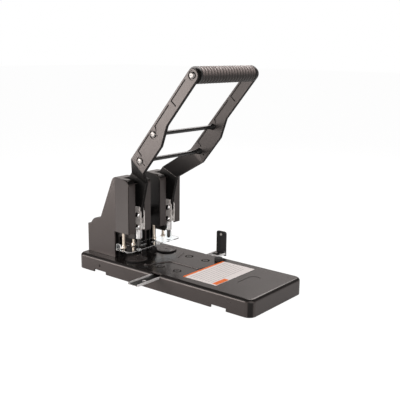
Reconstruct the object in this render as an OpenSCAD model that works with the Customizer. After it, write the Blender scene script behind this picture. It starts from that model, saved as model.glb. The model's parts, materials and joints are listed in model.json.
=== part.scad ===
// Heavy-duty two-hole lever punch.
// Frame: +X to the user's right, +Y away from the user, +Z up.
// The origin is on the table, midway between the two punch axes.

/* [Base] */
// Width of the base from side to side
base_w = 152; // [144:1:176]
// How far the base reaches in front of the punches
base_front = 269.5; // [250:0.5:310]
// How far the base reaches behind the punches
base_back = 122; // [119:1:140]
// Height of the deck above the table
deck_z = 30; // [29:0.5:36]
// Wall of the base cover
shell = 3; // [2.5:0.25:3.5]
// Radius of the upright corners of the base
corner_r = 13; // [9:1:18]
// Rounding along the top edge of the base
edge_r = 6; // [2:0.5:6]
// How far the rubber feet stand below the cover
foot_proud = 1; // [0.5:0.25:2]
// Radius of a round rubber foot
foot_r = 10; // [7:0.5:13]
// Height of the gap between the table and the bottom plate
plate_lift = 6.5; // [6:0.25:8]
// Thickness of the bottom plate
plate_t = 2; // [1.5:0.25:3]
// Length of a notch in the side of the base
notch_l = 30; // [20:1:40]
// Height of a side notch
notch_h = 5; // [3:0.5:5]
// Distance from the back edge to the middle of the rear notch
rear_notch_in = 58; // [40:1:70]
// Distance from the front edge to the middle of the front notch
front_notch_in = 63; // [45:1:80]
// Thickness of the steel chassis plate under the deck
chassis_t = 5; // [4:0.5:6]
// Radius of a cutting disc
disc_r = 19.25; // [16:0.25:19.5]
// How far a cutting disc stands above the deck
disc_proud = 3; // [2:0.25:3.5]
// How far the middle of a disc lies behind the punch
disc_set = 6; // [4:0.5:9]
// Height of the raised rib on the deck
relief_h = 1.2; // [0.4:0.1:1.4]
// Width of the printed label
label_w = 110; // [80:1:120]
// Length of the printed label
label_l = 70; // [50:1:80]
// Length of the blank badge
badge_l = 50; // [30:1:60]
// Width of the blank badge
badge_w = 20; // [14:1:24]

/* [Punches] */
// Distance between the two punched holes
hole_pitch = 80; // [80:1:84]
// Radius of the hollow punch
punch_r = 3; // [2.75:0.25:3.5]
// Wall of the hollow punch
punch_wall = 0.8; // [0.6:0.1:1]
// Height of the punch tip when the handle is up
tip_z = 56.5; // [56:0.25:58]
// Radius of the punch holder
holder_r = 5.8; // [5.5:0.1:6]
// Height of the bottom of the punch holder
holder_z = 70.5; // [69:0.5:73]
// Height of the pin that holds the punch holder
lower_pin_z = 94; // [92:0.5:96]
// Height of the pin that the lever pushes
upper_pin_z = 115.3; // [114:0.1:117]
// Radius of both pins
pin_r = 3; // [2.5:0.25:3.25]
// How far the link plates reach in front of the punch axis
link_front = 10.2; // [9.6:0.1:11]
// Thickness of a link plate
link_t = 2.3; // [2:0.1:2.4]
// Height of the top of the link plates
link_top_z = 130.5; // [128:0.5:134]
// How far the pins of the links lie in front of the punch axis
pin_out = 2.1; // [1.5:0.1:2.5]

/* [Towers] */
// Width of a tower across its front face
tower_w = 58; // [56:0.5:62]
// Width of a tower at the back
tower_back_w = 30; // [30:0.5:32]
// How far the front face stands before the punch axis
tower_face = 3.7; // [3:0.1:5]
// Height of the top of a tower
tower_top = 179; // [176:0.5:184]
// How far the towers reach behind the punches
tower_back = 117; // [115:0.5:119]
// Wall of a tower cover
tower_wall = 2.5; // [2:0.1:2.6]
// Width of the slot that the lever moves in
slot_w = 23; // [22:0.5:24]
// Depth of the paper throat behind the punches
throat_y = 46; // [45:0.5:50]
// Thickness of the side plates of a tower frame
frame_t = 2; // [1.75:0.05:2.25]
// Inside width of a tower frame
frame_in_w = 11; // [10.8:0.1:11.2]
// Distance of the pivot shaft behind the punches
pivot_y = 40; // [39.5:0.5:42]
// Height of the pivot shaft
pivot_z = 104; // [103:0.25:105]
// Radius of the pivot shaft
shaft_r = 6; // [5:0.25:6.5]

/* [Handle] */
// Distance between the outer faces of the two legs
handle_w = 162.5; // [156:0.5:172]
// Thickness of a leg
leg_t = 6.5; // [5:0.25:7.5]
// Width of the upper part of a leg
leg_w = 21.7; // [20:0.1:25]
// Width of the lower part of a leg
leg_low_w = 35.3; // [33:0.1:40]
// Length of a leg from the grip axis
leg_l = 192; // [186:1:200]
// Slope of a leg, down from level
leg_slope = 50.5; // [46:0.5:55]
// Distance of the grip axis in front of the punches
grip_out = 153.5; // [145:0.5:160]
// Height of the grip axis
grip_z = 362.7; // [355:0.5:370]
// Radius of the grip over its ribs
grip_r = 13.5; // [12:0.25:15]
// Depth of the grooves between the ribs
rib_depth = 1.4; // [0.5:0.1:2]
// Number of ribs on the grip
ribs = 19; // [12:1:24]
// Radius of the cross rods
rod_r = 3.5; // [3:0.25:5]
// Distance of the upper cross rod from the lower end of the legs
upper_rod_in = 67; // [60:1:72]
// Distance of the lower cross rod from the lower end of the legs
lower_rod_in = 12; // [11:0.5:18]
// Thickness of the lever plate inside a tower
lever_t = 5.5; // [5:0.25:5.75]
// Width of the lines pressed into the legs
groove_w = 1.8; // [0.8:0.1:2.4]

/* [Clear guard] */
// Length of the clear guard, side to side
guard_l = 136; // [132:1:150]
// How far the guard reaches in front of the punches
guard_front = 5.5; // [5:0.5:8]
// How far the guard reaches behind the punches
guard_back = 31; // [30:0.5:34]
// Thickness of the clear guard
guard_t = 2; // [1.5:0.25:2.5]
// Radius of a guide post
post_r = 2.5; // [2:0.1:2.6]
// How far the guard moves down
guard_drop = 16.5; // [15:0.25:17]

/* [Paper guide] */
// Length of the sliding rail
rail_l = 238; // [200:1:260]
// Width of the rail
rail_w = 22; // [20:0.5:23]
// How far the stop stands out beyond the right side
stop_out = 34; // [20:1:60]
// Height of the stop above the rail
stop_h = 40; // [30:1:50]
// Distance of the middle of the rail in front of the punches
rail_y = 70.5; // [69:0.5:72]

/* [Hidden] */
$fn = 48;

// Fits and cuts
cut = 1;
slide_gap = 0.3;
run_gap = 0.05;
side_gap = 0.1;
hull_fn = 32;
arc_steps = 6;

// Derived heights of the base
skin_z = deck_z - shell;
chassis_z = skin_z - chassis_t;
plate_top = plate_lift + plate_t;
half_w = base_w / 2;
inner_half_w = half_w - shell;
lip = 0.4;

// Derived places of the punches and their travel
punch_x = hole_pitch / 2;
disc_top = deck_z + disc_proud;
stroke = tip_z - disc_top - slide_gap;
arm = pivot_y + pin_out;
arm_up = atan2(upper_pin_z - pivot_z, arm);
arm_down = atan2(pivot_z - (upper_pin_z - stroke), arm);
turn = arm_up + arm_down;

// Screw sizes
screw_r = 1.8;
screw_head_r = 3.5;
screw_head_h = 2;
screw_l = 12;
boss_r = 4.5;
bolt_r = 3;
bolt_head_r = 5;
bolt_head_h = 4;

// Deck details
deck_screw_in = 37;
deck_screw_x = half_w - deck_screw_in;
deck_screw_gap = 6;
deck_screw_r = 2;
deck_head_r = 5;
deck_head_h = 1.9;
recess_r = 7.5;
recess_d = 2;
bore_r = 2;
label_t = 0.3;
label_gap = 3.5;
label_set = 34.5;
label_y = rail_y + rail_w / 2 + label_set + label_l / 2;
badge_t = 0.8;
badge_gap = 16;
badge_y = label_y + label_l / 2 + badge_gap + badge_w / 2;

// Rail sizes
rail_h = 4;
rail_sheet = 1.2;
rail_clear = 0.5;
rail_top = skin_z - rail_clear;
rail_z = rail_top - rail_h;
rail_right = half_w + stop_out;
rail_left = rail_right - rail_l;
rail_hole_in = 27;
carrier_t = 1.6;
carrier_w = 2 * (deck_screw_x + deck_screw_gap);
wing_t = 2.5;
wing_w = 14;
deck_screw_out = rail_w / 2 + deck_screw_gap + deck_screw_r;
stop_t = 3;
stop_foot = 14;
stop_drop = 3;
rivet_r = 1.6;
rivet_head_share = 1.6;
knob_r = 7.3;
knob_h = 5.4;
knob_in = 23;
knob_x = half_w - knob_in;
knob_set = 27;
knob_stem_r = 3;
clamp_t = 3;
clamp_w = 12;

// Tower places
frame_half = frame_in_w / 2;
frame_out = frame_half + frame_t;
frame_front = 3.3;
frame_throat_z = 70;
frame_gap = 4;
frame_back_gap = 13;
frame_top_gap = 11;
frame_bevel = 13;
frame_web = 2.5;
frame_waist = throat_y - frame_gap;
frame_back = tower_back - frame_back_gap;
frame_top_z = tower_top - frame_top_gap;
ridge_y = 48.5;
shoulder_y = 83;
shoulder_z = 97.5;
hump_y = 99;
heel_y = 110;
heel_z = 83;
lip_front_z = 83.5;
lip_back_z = 78.5;
taper_gap = 3;
taper_y = throat_y - taper_gap;
top_round = 11;
side_round = 8;
shoulder_round = 3;
hump_round = 20;
plan_round = 1.8;
taper_round = 12;
slant_share = 0.64;
taper_share = 1.05;
bush_r = 8.5;
bush_flange = 1.2;
ring_share = 1.4;
clip_t = 1.2;
collar_w = 8;
collar_r = 12;
wire_r = 1.25;
coil_r = 9;
coil_turns = 6;
rings_per_curl = 8;
wire_sides = 6;
coil_clear = 1.25;

// Handle places, measured along the leg and across it
leg_in_x = handle_w / 2 - leg_t;
leg_out_x = handle_w / 2;
leg_back_t = 10.2;
leg_back_low_t = 11.1;
flare_start_in = 97.5;
flare_end_in = 63;
flare_start_s = leg_l - flare_start_in;
flare_end_s = leg_l - flare_end_in;
upper_rod_s = leg_l - upper_rod_in;
lower_rod_s = leg_l - lower_rod_in;
upper_rod_t = 0.7;
lower_rod_t = -6.2;
recess_head_r = 7.4;
recess_head_d = 1.2;
head_screw_r = 5.4;
head_screw_h = 3.2;
groove_d = 1;
weld = 1;
leg_round = 20;
eye_clear = 0.35;
lever_clear = 0.6;
neck_y = -4;
neck_z = 181.7;
neck_w = 37.4;
neck_tilt = 24.5;
neck_step = 0.2;
hub_r = 13.5;
eye_r = 7.6;
collar_l = 4;
core_r = 8;
rod_boss_l = 12;
rod_boss_r = 6;

// Guard places
guard_z = disc_top + slide_gap + guard_drop;
guard_top = guard_z + guard_t;
post_x = 12.5;
post_y = 25.5;
ear_z = 85;
ear_t = 3;
post_top = 136;
post_head_h = 3;
post_head_r = 3.8;
post_foot_r = 4.4;
post_foot_h = 4.5;
spring_r = 3.2;
spring_wire_r = 0.4;
spring_turns = 12;
stop_tab_x = 14;
stop_tab_w = 12;
stop_tab_y = 12;
stop_tab_t = 1.5;
stop_tab_h = 10;
stop_tab_foot = 12;

// Colours
body_grey = "#4b4644";
handle_grey = "#544e4c";
black = "#161515";
steel = "#b9bab8";
chrome = "#dcdcdc";

// Outline with each corner rounded, from points [x, y, radius]
function unit(v) = v / norm(v);
function corner_arc(a, b, c, r) =
    let (u = unit(a - b), v = unit(c - b), half = acos(u * v) / 2,
        mid = b + unit(u + v) * r / sin(half), p = b + u * r / tan(half), q = b + v * r / tan(half),
        from = atan2(p.y - mid.y, p.x - mid.x), to = atan2(q.y - mid.y, q.x - mid.x),
        sweep = (to - from + 540) % 360 - 180)
    [for (i = [0:arc_steps]) mid + r * [cos(from + sweep * i / arc_steps), sin(from + sweep * i / arc_steps)]];
function flat2(p) = [p.x, p.y];
function rounded(pts) =
    let (n = len(pts))
    [for (i = [0:n - 1]) let (a = flat2(pts[(i + n - 1) % n]), b = flat2(pts[i]), c = flat2(pts[(i + 1) % n]))
        each (pts[i].z == 0 ? [b] : corner_arc(a, b, c, pts[i].z))];

// Direction in which the outer tangent touches two circles, on the right of c1 to c2
function touch(c1, r1, c2, r2) =
    let (d = c2 - c1, u = unit(d), v = [u.y, -u.x], k = (r1 - r2) / norm(d))
    u * k + v * sqrt(1 - k * k);

// Path of a coil about +Z whose ends run straight, and the least gap between its turns
function coil_path(r, l, turns, wire) =
    let (n = turns * rings_per_curl, end = 3 * wire, rise = (l - 2 * end) / n)
    concat([[r, 0, 0], [r, 0, end - wire]],
        [for (i = [1:n - 1]) let (a = 360 * i / rings_per_curl) [r * cos(a), r * sin(a), end + rise * i]],
        [[r, 0, l - end + wire], [r, 0, l]]);
function coil_gap(path, wire) =
    let (n = len(path), half = rings_per_curl / 2)
    min([for (i = [0:n - 1 - half]) for (j = [i + half:n - 1]) norm(path[i] - path[j])]) - 2 * wire;

// Extrudes a (Y, Z) outline from x0 to x1
module across(x0, x1) {
    translate([x0, 0, 0]) rotate([90, 0, 90]) linear_extrude(x1 - x0) children();
}

// Cylinder along X
module bar_x(x0, x1, r) {
    translate([x0, 0, 0]) rotate([0, 90, 0]) cylinder(h = x1 - x0, r = r);
}

// Plate with rounded upright corners, from [x0, y0] to [x1, y1]
module round_plate(x0, x1, y0, y1, z0, z1, r) {
    translate([0, 0, z0]) linear_extrude(z1 - z0) {
        translate([x0 + r, y0]) square([x1 - x0 - 2 * r, y1 - y0]);
        translate([x0, y0 + r]) square([x1 - x0, y1 - y0 - 2 * r]);
        for (x = [x0 + r, x1 - r]) for (y = [y0 + r, y1 - r]) translate([x, y]) circle(r);
    }
}

// Closed round tube along a path whose turns run about +Z
module wire_tube(path, r) {
    n = len(path);
    s = wire_sides;
    rings = [for (i = [0:n - 1])
        let (t = unit(path[min(i + 1, n - 1)] - path[max(i - 1, 0)]), out = unit([path[i].x, path[i].y, 0]),
            up = unit(cross(out, t)))
        [for (k = [0:s - 1]) path[i] + r * (cos(360 * k / s) * out + sin(360 * k / s) * up)]];
    polyhedron(
        points = [for (ring = rings) each ring],
        faces = [for (i = [0:n - 2]) for (k = [0:s - 1])
                each [[i * s + k, i * s + (k + 1) % s, (i + 1) * s + (k + 1) % s],
                    [i * s + k, (i + 1) * s + (k + 1) % s, (i + 1) * s + k]],
            [for (k = [s - 1:-1:0]) k], [for (k = [0:s - 1]) (n - 1) * s + k]]);
}

// Shows the right-hand one, or its mirror image on the left
module on_side(side) {
    if (side == "left") mirror([1, 0, 0]) children();
    else children();
}
module both_sides() {
    children();
    mirror([1, 0, 0]) children();
}

// Base
module soft_block() {
    h = deck_z - foot_proud;
    hull() for (x = [-1, 1]) for (y = [-base_front + corner_r, base_back - corner_r])
        translate([x * (half_w - corner_r), y, foot_proud]) rotate_extrude($fn = hull_fn)
            polygon(concat([[0, 0], [corner_r, 0]],
                [for (a = [0:15:90]) [corner_r - edge_r + edge_r * cos(a), h - edge_r + edge_r * sin(a)]],
                [[0, h]]));
}

boss_inset = 30;
boss_rear_inset = 22;
boss_mid_gap = 36;
boss_x = inner_half_w - boss_r - lip;
boss_ys = [-base_front + boss_inset, -rail_y - rail_w / 2 - boss_mid_gap, base_back - boss_rear_inset];
side_screw_up = 14;
side_screw_z = foot_proud + side_screw_up;
side_screw_y = base_back - rear_notch_in;
knob_y = -rail_y - rail_w / 2 - knob_set;
relief_spine = 18;
relief_wing = 52;
relief_back = 22;
relief_band = 8;
relief_round = 3;

module deck_relief() {
    spine = relief_spine / 2;
    front = -label_y + label_l / 2 + label_gap;
    side_pts = [[spine, front, relief_round / 2], [spine, -relief_back - 3 * relief_band, 4 * relief_round],
        [relief_wing, -relief_back - relief_band, relief_round], [relief_wing, -relief_back, relief_round]];
    translate([0, 0, deck_z - cut]) linear_extrude(cut + relief_h)
        polygon(rounded(concat(side_pts, [for (i = [3:-1:0]) [-side_pts[i].x, side_pts[i].y, side_pts[i].z]])));
}

module base_cover() {
    color(body_grey) difference() {
        union() {
            difference() {
                soft_block();
                round_plate(-inner_half_w, inner_half_w, -base_front + shell, base_back - shell,
                    foot_proud - cut, skin_z, corner_r - shell);
            }
            deck_relief();
            for (y = boss_ys) both_sides() translate([boss_x, y, plate_top])
                cylinder(h = skin_z - plate_top + cut, r = boss_r);
        }
        for (y = boss_ys) both_sides() translate([boss_x, y, plate_top - cut])
            cylinder(h = screw_l - plate_t + cut, r = screw_r);
        both_sides() {
            translate([punch_x, disc_set, skin_z - cut])
                cylinder(h = shell + relief_h + 2 * cut, r = disc_r + slide_gap);
            for (s = [-1, 1]) translate([deck_screw_x, -rail_y + s * deck_screw_out, 0]) {
                translate([0, 0, deck_z - recess_d]) cylinder(h = recess_d + relief_h + cut, r = recess_r);
                translate([0, 0, skin_z - cut]) cylinder(h = shell + cut, r = deck_screw_r);
            }
            for (y = bolt_ys) translate([punch_x, y, skin_z - cut]) cylinder(h = shell + 2 * cut, r = bolt_r);
            translate([stop_tab_x, stop_screw_y, skin_z - cut])
                cylinder(h = shell + 2 * cut, r = screw_r);
            translate([half_w - shell - edge_r / 2, -rail_y - rail_w / 2 - slide_gap, rail_z - slide_gap])
                cube([shell + edge_r, rail_w + 2 * slide_gap, rail_h + shell + 2 * cut]);
            translate([0, side_screw_y, side_screw_z]) bar_x(inner_half_w - cut, half_w + cut, side_head_r);
            for (y = [base_back - rear_notch_in, -base_front + front_notch_in])
                translate([inner_half_w - cut, y - notch_l / 2, foot_proud - cut])
                    cube([shell + 2 * cut, notch_l, notch_h + cut]);
        }
        translate([knob_x, knob_y, skin_z - cut]) cylinder(h = shell + 2 * cut, r = knob_stem_r + slide_gap);
        round_plate(-badge_l / 2, badge_l / 2, -badge_y - badge_w / 2, -badge_y + badge_w / 2,
            deck_z - badge_t, deck_z + cut, badge_w / 2 - lip);
    }
}

side_head_r = 2.2;
side_screw_shank_r = 1.5;
side_lug_w = 12;
side_lug_t = 3;

module bottom_plate() {
    x = inner_half_w - lip;
    color(black) difference() {
        union() {
            round_plate(-x, x, -base_front + shell + lip, base_back - shell - lip, plate_lift, plate_top,
                corner_r - shell - lip);
            both_sides() translate([x - side_lug_t, side_screw_y - side_lug_w / 2, plate_lift])
                cube([side_lug_t, side_lug_w, side_screw_z - plate_lift + side_lug_w / 2]);
        }
        for (y = boss_ys) both_sides() translate([boss_x, y, plate_lift - cut])
            cylinder(h = plate_t + 2 * cut, r = screw_r);
        both_sides() translate([0, side_screw_y, side_screw_z])
            bar_x(x - side_lug_t - cut, x + cut, side_screw_shank_r);
    }
}

foot_inset = 22;
foot_bar_l = 110;
foot_bar_w = 18;
module rubber_feet() {
    color(black) {
        for (y = [-base_front + foot_inset, base_back - foot_inset]) both_sides()
            translate([half_w - foot_inset, y, 0]) cylinder(h = plate_lift, r = foot_r);
        round_plate(-foot_bar_l / 2, foot_bar_l / 2, -foot_bar_w / 2, foot_bar_w / 2, 0, plate_lift, shell);
    }
}

module bottom_screws() {
    color(steel) for (y = boss_ys) both_sides() translate([boss_x, y, 0]) {
        translate([0, 0, plate_lift - screw_head_h]) cylinder(h = screw_head_h, r = screw_head_r);
        translate([0, 0, plate_lift]) cylinder(h = screw_l, r = screw_r);
    }
}

module side_screws() {
    color(black) both_sides() translate([0, side_screw_y, side_screw_z]) {
        bar_x(inner_half_w, half_w - side_head_r / 2, side_head_r);
        bar_x(inner_half_w - lip - side_lug_t - cut, inner_half_w, side_screw_shank_r);
    }
}

chassis_half = 60;
chassis_front = 20;
bolt_front_gap = 16;
bolt_back_gap = 14;
bolt_ys = [frame_waist + bolt_front_gap, frame_back - bolt_back_gap];
stop_screw_y = stop_tab_y + stop_tab_foot / 2 + stop_tab_t;
module chassis_plate() {
    color(steel) difference() {
        round_plate(-chassis_half, chassis_half, -chassis_front, base_back - shell - lip - lip,
            chassis_z, skin_z, boss_r);
        both_sides() {
            for (y = bolt_ys) translate([punch_x, y, chassis_z - cut])
                cylinder(h = chassis_t + 2 * cut, r = bolt_r);
            translate([punch_x, disc_set, chassis_z - cut]) cylinder(h = chassis_t + 2 * cut, r = bore_r);
            translate([stop_tab_x, stop_screw_y, chassis_z - cut])
                cylinder(h = chassis_t + 2 * cut, r = screw_r);
        }
    }
}

// Hat-shaped carrier that the rail slides in, under the deck
module rail_carrier() {
    trough = rail_w / 2 + slide_gap;
    floor_z = rail_z - slide_gap;
    wing = trough + wing_w;
    color(steel) difference() {
        across(-carrier_w / 2, carrier_w / 2) polygon([
            [-rail_y - wing, skin_z], [-rail_y - trough, skin_z], [-rail_y - trough, floor_z],
            [-rail_y + trough, floor_z], [-rail_y + trough, skin_z], [-rail_y + wing, skin_z],
            [-rail_y + wing, skin_z - wing_t], [-rail_y + trough + carrier_t, skin_z - wing_t],
            [-rail_y + trough + carrier_t, floor_z - carrier_t],
            [-rail_y - trough - carrier_t, floor_z - carrier_t],
            [-rail_y - trough - carrier_t, skin_z - wing_t], [-rail_y - wing, skin_z - wing_t]]);
        both_sides() for (s = [-1, 1]) translate([deck_screw_x, -rail_y + s * deck_screw_out, 0])
            cylinder(h = deck_z, r = deck_screw_r);
    }
}

module cross_head_cut(r, depth) {
    for (a = [0, 90]) rotate([0, 0, a]) translate([-r, -r / 6, 0]) cube([2 * r, r / 3, depth + cut]);
}

module deck_screws() {
    color(chrome) both_sides() for (s = [-1, 1])
        translate([deck_screw_x, -rail_y + s * deck_screw_out, deck_z - recess_d]) {
            difference() {
                cylinder(h = deck_head_h, r = deck_head_r);
                translate([0, 0, deck_head_h / 2]) cross_head_cut(deck_head_r / 2, deck_head_h / 2);
            }
            translate([0, 0, -screw_l + deck_head_h]) cylinder(h = screw_l - deck_head_h, r = deck_screw_r);
        }
}

module cutting_disc(side) {
    rim = disc_r - disc_r / 4;
    color(body_grey) on_side(side) translate([punch_x, disc_set, skin_z]) rotate_extrude($fn = 72)
        polygon([[bore_r + run_gap, 0], [disc_r, 0], [disc_r, shell + disc_proud - relief_h],
            [disc_r - relief_h, shell + disc_proud], [rim + relief_h, shell + disc_proud],
            [rim, shell + disc_proud - relief_h / 2], [rim - relief_h, shell + disc_proud],
            [bore_r + run_gap, shell + disc_proud]]);
}

module disc_pins() {
    color(steel) both_sides() translate([punch_x, disc_set, chassis_z])
        cylinder(h = disc_top - relief_h - chassis_z, r = bore_r);
}

module paper_label() {
    color("white") round_plate(-label_w / 2, label_w / 2, -label_y - label_l / 2, -label_y + label_l / 2,
        deck_z, deck_z + label_t, label_t * 4);
}

module badge_plate() {
    color(body_grey) round_plate(-badge_l / 2 + lip, badge_l / 2 - lip, -badge_y - badge_w / 2 + lip,
        -badge_y + badge_w / 2 - lip, deck_z - badge_t, deck_z - badge_t / 2, badge_w / 2 - 2 * lip);
}

// Upright tabs that the edge of the paper is pushed against
module paper_stops() {
    color(black) both_sides() translate([stop_tab_x - stop_tab_w / 2, stop_tab_y, deck_z]) difference() {
        union() {
            cube([stop_tab_w, stop_tab_t, stop_tab_h]);
            cube([stop_tab_w, stop_tab_t + stop_tab_foot, stop_tab_t]);
        }
        translate([stop_tab_w / 2, stop_screw_y - stop_tab_y, -cut])
            cylinder(h = stop_tab_t + 2 * cut, r = screw_r);
    }
}

module stop_screws() {
    color(chrome) both_sides() translate([stop_tab_x, stop_screw_y, 0]) {
        translate([0, 0, deck_z + stop_tab_t]) cylinder(h = screw_head_h / 2, r = screw_head_r);
        translate([0, 0, chassis_z]) cylinder(h = deck_z + stop_tab_t - chassis_z, r = screw_r);
    }
}

// Paper guide
module guide_rail() {
    y0 = -rail_y - rail_w / 2;
    color(chrome) difference() {
        translate([rail_left, y0, rail_z]) cube([rail_l, rail_w, rail_h]);
        translate([rail_left - cut, y0 + rail_sheet, rail_z + rail_sheet])
            cube([rail_l + 2 * cut, rail_w - 2 * rail_sheet, rail_h]);
        translate([rail_left + rail_hole_in, -rail_y, rail_z - cut]) cylinder(h = rail_h, r = rivet_r * 2);
        for (s = [-1, 1]) translate([rail_right - stop_foot / 2, -rail_y + s * rail_w / 4, rail_z - cut])
            cylinder(h = rail_h, r = rivet_r);
    }
}

stop_round = 4;
stop_hole_in = 6;
module guide_stop() {
    y0 = -rail_y - rail_w / 2;
    y1 = -rail_y + rail_w / 2;
    foot_in = rail_sheet + slide_gap;
    color(black) difference() {
        union() {
            across(rail_right, rail_right + stop_t) polygon(rounded([[y0, rail_z - stop_drop, 0],
                [y1, rail_z - stop_drop, 0], [y1, rail_top + stop_h, stop_round],
                [y0, rail_top + stop_h, stop_round]]));
            translate([rail_right - stop_foot, y0 + foot_in, rail_z + rail_sheet])
                cube([stop_foot + cut, rail_w - 2 * foot_in, rail_sheet]);
        }
        for (s = [-1, 1]) translate([rail_right - stop_foot / 2, -rail_y + s * rail_w / 4, rail_z])
            cylinder(h = rail_h, r = rivet_r);
        translate([0, -rail_y, rail_top + stop_h - stop_hole_in])
            bar_x(rail_right - cut, rail_right + stop_t + cut, rivet_r);
    }
}

module stop_rivets() {
    color(steel) {
        for (s = [-1, 1]) translate([rail_right - stop_foot / 2, -rail_y + s * rail_w / 4, 0]) {
            translate([0, 0, rail_z]) cylinder(h = 2 * rail_sheet, r = rivet_r);
            translate([0, 0, rail_z + 2 * rail_sheet]) cylinder(h = rivet_r / 2, r = rivet_r * rivet_head_share);
        }
        translate([0, -rail_y, rail_top + stop_h - stop_hole_in]) {
            bar_x(rail_right, rail_right + stop_t, rivet_r);
            bar_x(rail_right - rivet_r / 2, rail_right, rivet_r * rivet_head_share);
        }
    }
}

knob_flutes = 12;
flute_r = 0.8;
module guide_lock_knob() {
    z0 = deck_z + slide_gap;
    color(black) translate([knob_x, knob_y, 0]) difference() {
        union() {
            translate([0, 0, z0]) cylinder(h = knob_h, r = knob_r);
            translate([0, 0, clamp_z]) cylinder(h = z0 - clamp_z, r = knob_stem_r);
        }
        for (i = [0:knob_flutes - 1]) rotate([0, 0, 360 * i / knob_flutes])
            translate([knob_r + flute_r / 2, 0, z0 - cut])
                cylinder(h = knob_h + 2 * cut, r = flute_r, $fn = 16);
    }
}

// Clamp that the knob draws up against the underside of the rail
clamp_z = rail_z - slide_gap - clamp_t;
module lock_clamp() {
    reach = knob_set + rail_w - slide_gap;
    color(steel) difference() {
        translate([knob_x - clamp_w / 2, knob_y - clamp_w / 2, clamp_z]) cube([clamp_w, reach, clamp_t]);
        translate([knob_x, knob_y, clamp_z - cut]) cylinder(h = clamp_t + 2 * cut, r = knob_stem_r + run_gap);
    }
}

// Towers
module cover_plan(inset) {
    f = tower_w / 2 - inset * taper_share;
    b = tower_back_w / 2 - inset;
    y = -tower_face + inset;
    y2 = tower_back - inset;
    r = max(plan_round - inset, 0);
    right = [[f, y, r], [b, taper_y, taper_round + inset], [b, y2, r]];
    left = [for (i = [2:-1:0]) [-right[i].x, right[i].y, right[i].z]];
    translate([punch_x, 0]) polygon(rounded(concat(right, left)));
}

// Side view of a cover, drawn in by inset, with its open ends lowered by drop
module cover_side(inset, drop) {
    top = tower_top - inset;
    lean = inset * slant_share;
    front = -tower_face + inset;
    polygon(rounded([[front, lip_front_z - drop, 0], [front, top, top_round - inset],
        [ridge_y - lean, top, top_round - inset], [shoulder_y - lean, shoulder_z - inset, shoulder_round],
        [hump_y - inset / 2, shoulder_z - inset, hump_round], [heel_y - inset / 2, heel_z - inset, 0],
        [tower_back - inset, heel_z - inset, shoulder_round / 3], [tower_back - inset, deck_z - drop, 0],
        [throat_y + inset, deck_z - drop, 0], [throat_y + inset, lip_back_z - drop, 0]]));
}

module cover_front(inset) {
    w = tower_w / 2 - inset * taper_share;
    translate([0, tower_back + cut, 0]) rotate([90, 0, 0]) linear_extrude(tower_back + tower_face + 2 * cut)
        translate([punch_x, 0]) polygon(rounded([[-w, 0, 0], [w, 0, 0],
            [w, tower_top - inset, side_round - inset], [-w, tower_top - inset, side_round - inset]]));
}

module cover_block(inset, drop) {
    intersection() {
        linear_extrude(tower_top) cover_plan(inset);
        across(punch_x - tower_w, punch_x + tower_w) cover_side(inset, drop);
        cover_front(inset);
    }
}

slot_back = 27;
spring_hole_r = coil_r + wire_r + coil_clear;
cover_screw_zs = [48, 72];
module tower_cover(side) {
    color(body_grey) on_side(side) difference() {
        union() {
            difference() {
                cover_block(0, 0);
                cover_block(tower_wall, cut);
            }
            for (z = cover_screw_zs) translate([punch_x, frame_back, z]) rotate([-90, 0, 0])
                cylinder(h = tower_back - frame_back - tower_wall / 2, r = boss_r);
        }
        translate([punch_x - slot_w / 2, -tower_face - cut, lip_back_z - 2 * cut])
            cube([slot_w, tower_wall + 2 * cut, tower_top]);
        translate([punch_x - slot_w / 2, -tower_face - cut, tower_top - 2 * tower_wall - 2 * cut])
            cube([slot_w, slot_back + tower_face + cut, tower_top]);
        translate([punch_x - slot_w / 2, throat_y - cut, deck_z - cut])
            cube([slot_w, tower_wall + 2 * cut, lip_back_z - deck_z + 3 * cut]);
        translate([0, pivot_y, pivot_z]) bar_x(0, punch_x - frame_out, spring_hole_r);
        for (z = cover_screw_zs) translate([punch_x, frame_back - cut, z]) rotate([-90, 0, 0])
            cylinder(h = tower_back, r = screw_r);
    }
}

module frame_side() {
    polygon([[frame_front, frame_throat_z], [frame_front, frame_top_z - frame_bevel],
        [frame_front + frame_bevel, frame_top_z], [ridge_y - frame_gap, frame_top_z],
        [ridge_y + frame_gap, frame_top_z - frame_bevel], [shoulder_y - 2 * frame_gap, shoulder_z - frame_gap],
        [frame_back, heel_z - 2 * frame_gap], [frame_back, deck_z], [frame_waist, deck_z],
        [frame_waist, frame_throat_z - frame_gap], [frame_waist - frame_gap, frame_throat_z]]);
}

module tower_frame(side) {
    color(black) on_side(side) difference() {
        union() {
            difference() {
                across(punch_x - frame_out, punch_x + frame_out) frame_side();
                translate([punch_x - frame_half, 0, deck_z + frame_web])
                    cube([frame_in_w, frame_back - frame_web, tower_top]);
            }
            for (s = [-1, 1]) {
                translate([punch_x + s * post_x, post_y, ear_z]) cylinder(h = ear_t, r = post_head_r);
                translate([punch_x + s * (frame_out + post_x) / 2, post_y, ear_z + ear_t / 2])
                    cube([post_x - frame_out + slide_gap, 2 * post_head_r, ear_t], center = true);
            }
        }
        translate([0, pivot_y, pivot_z]) bar_x(punch_x - frame_out - cut, punch_x + frame_out + cut, bush_r);
        for (s = [-1, 1]) translate([punch_x + s * post_x, post_y, ear_z - cut])
            cylinder(h = ear_t + 2 * cut, r = post_r + run_gap);
        for (y = bolt_ys) translate([punch_x, y, deck_z - cut]) cylinder(h = frame_web + 2 * cut, r = bolt_r);
        for (z = cover_screw_zs) translate([punch_x, frame_back - frame_web - cut, z]) rotate([-90, 0, 0])
            cylinder(h = frame_web + 2 * cut, r = screw_r);
    }
}

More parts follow.
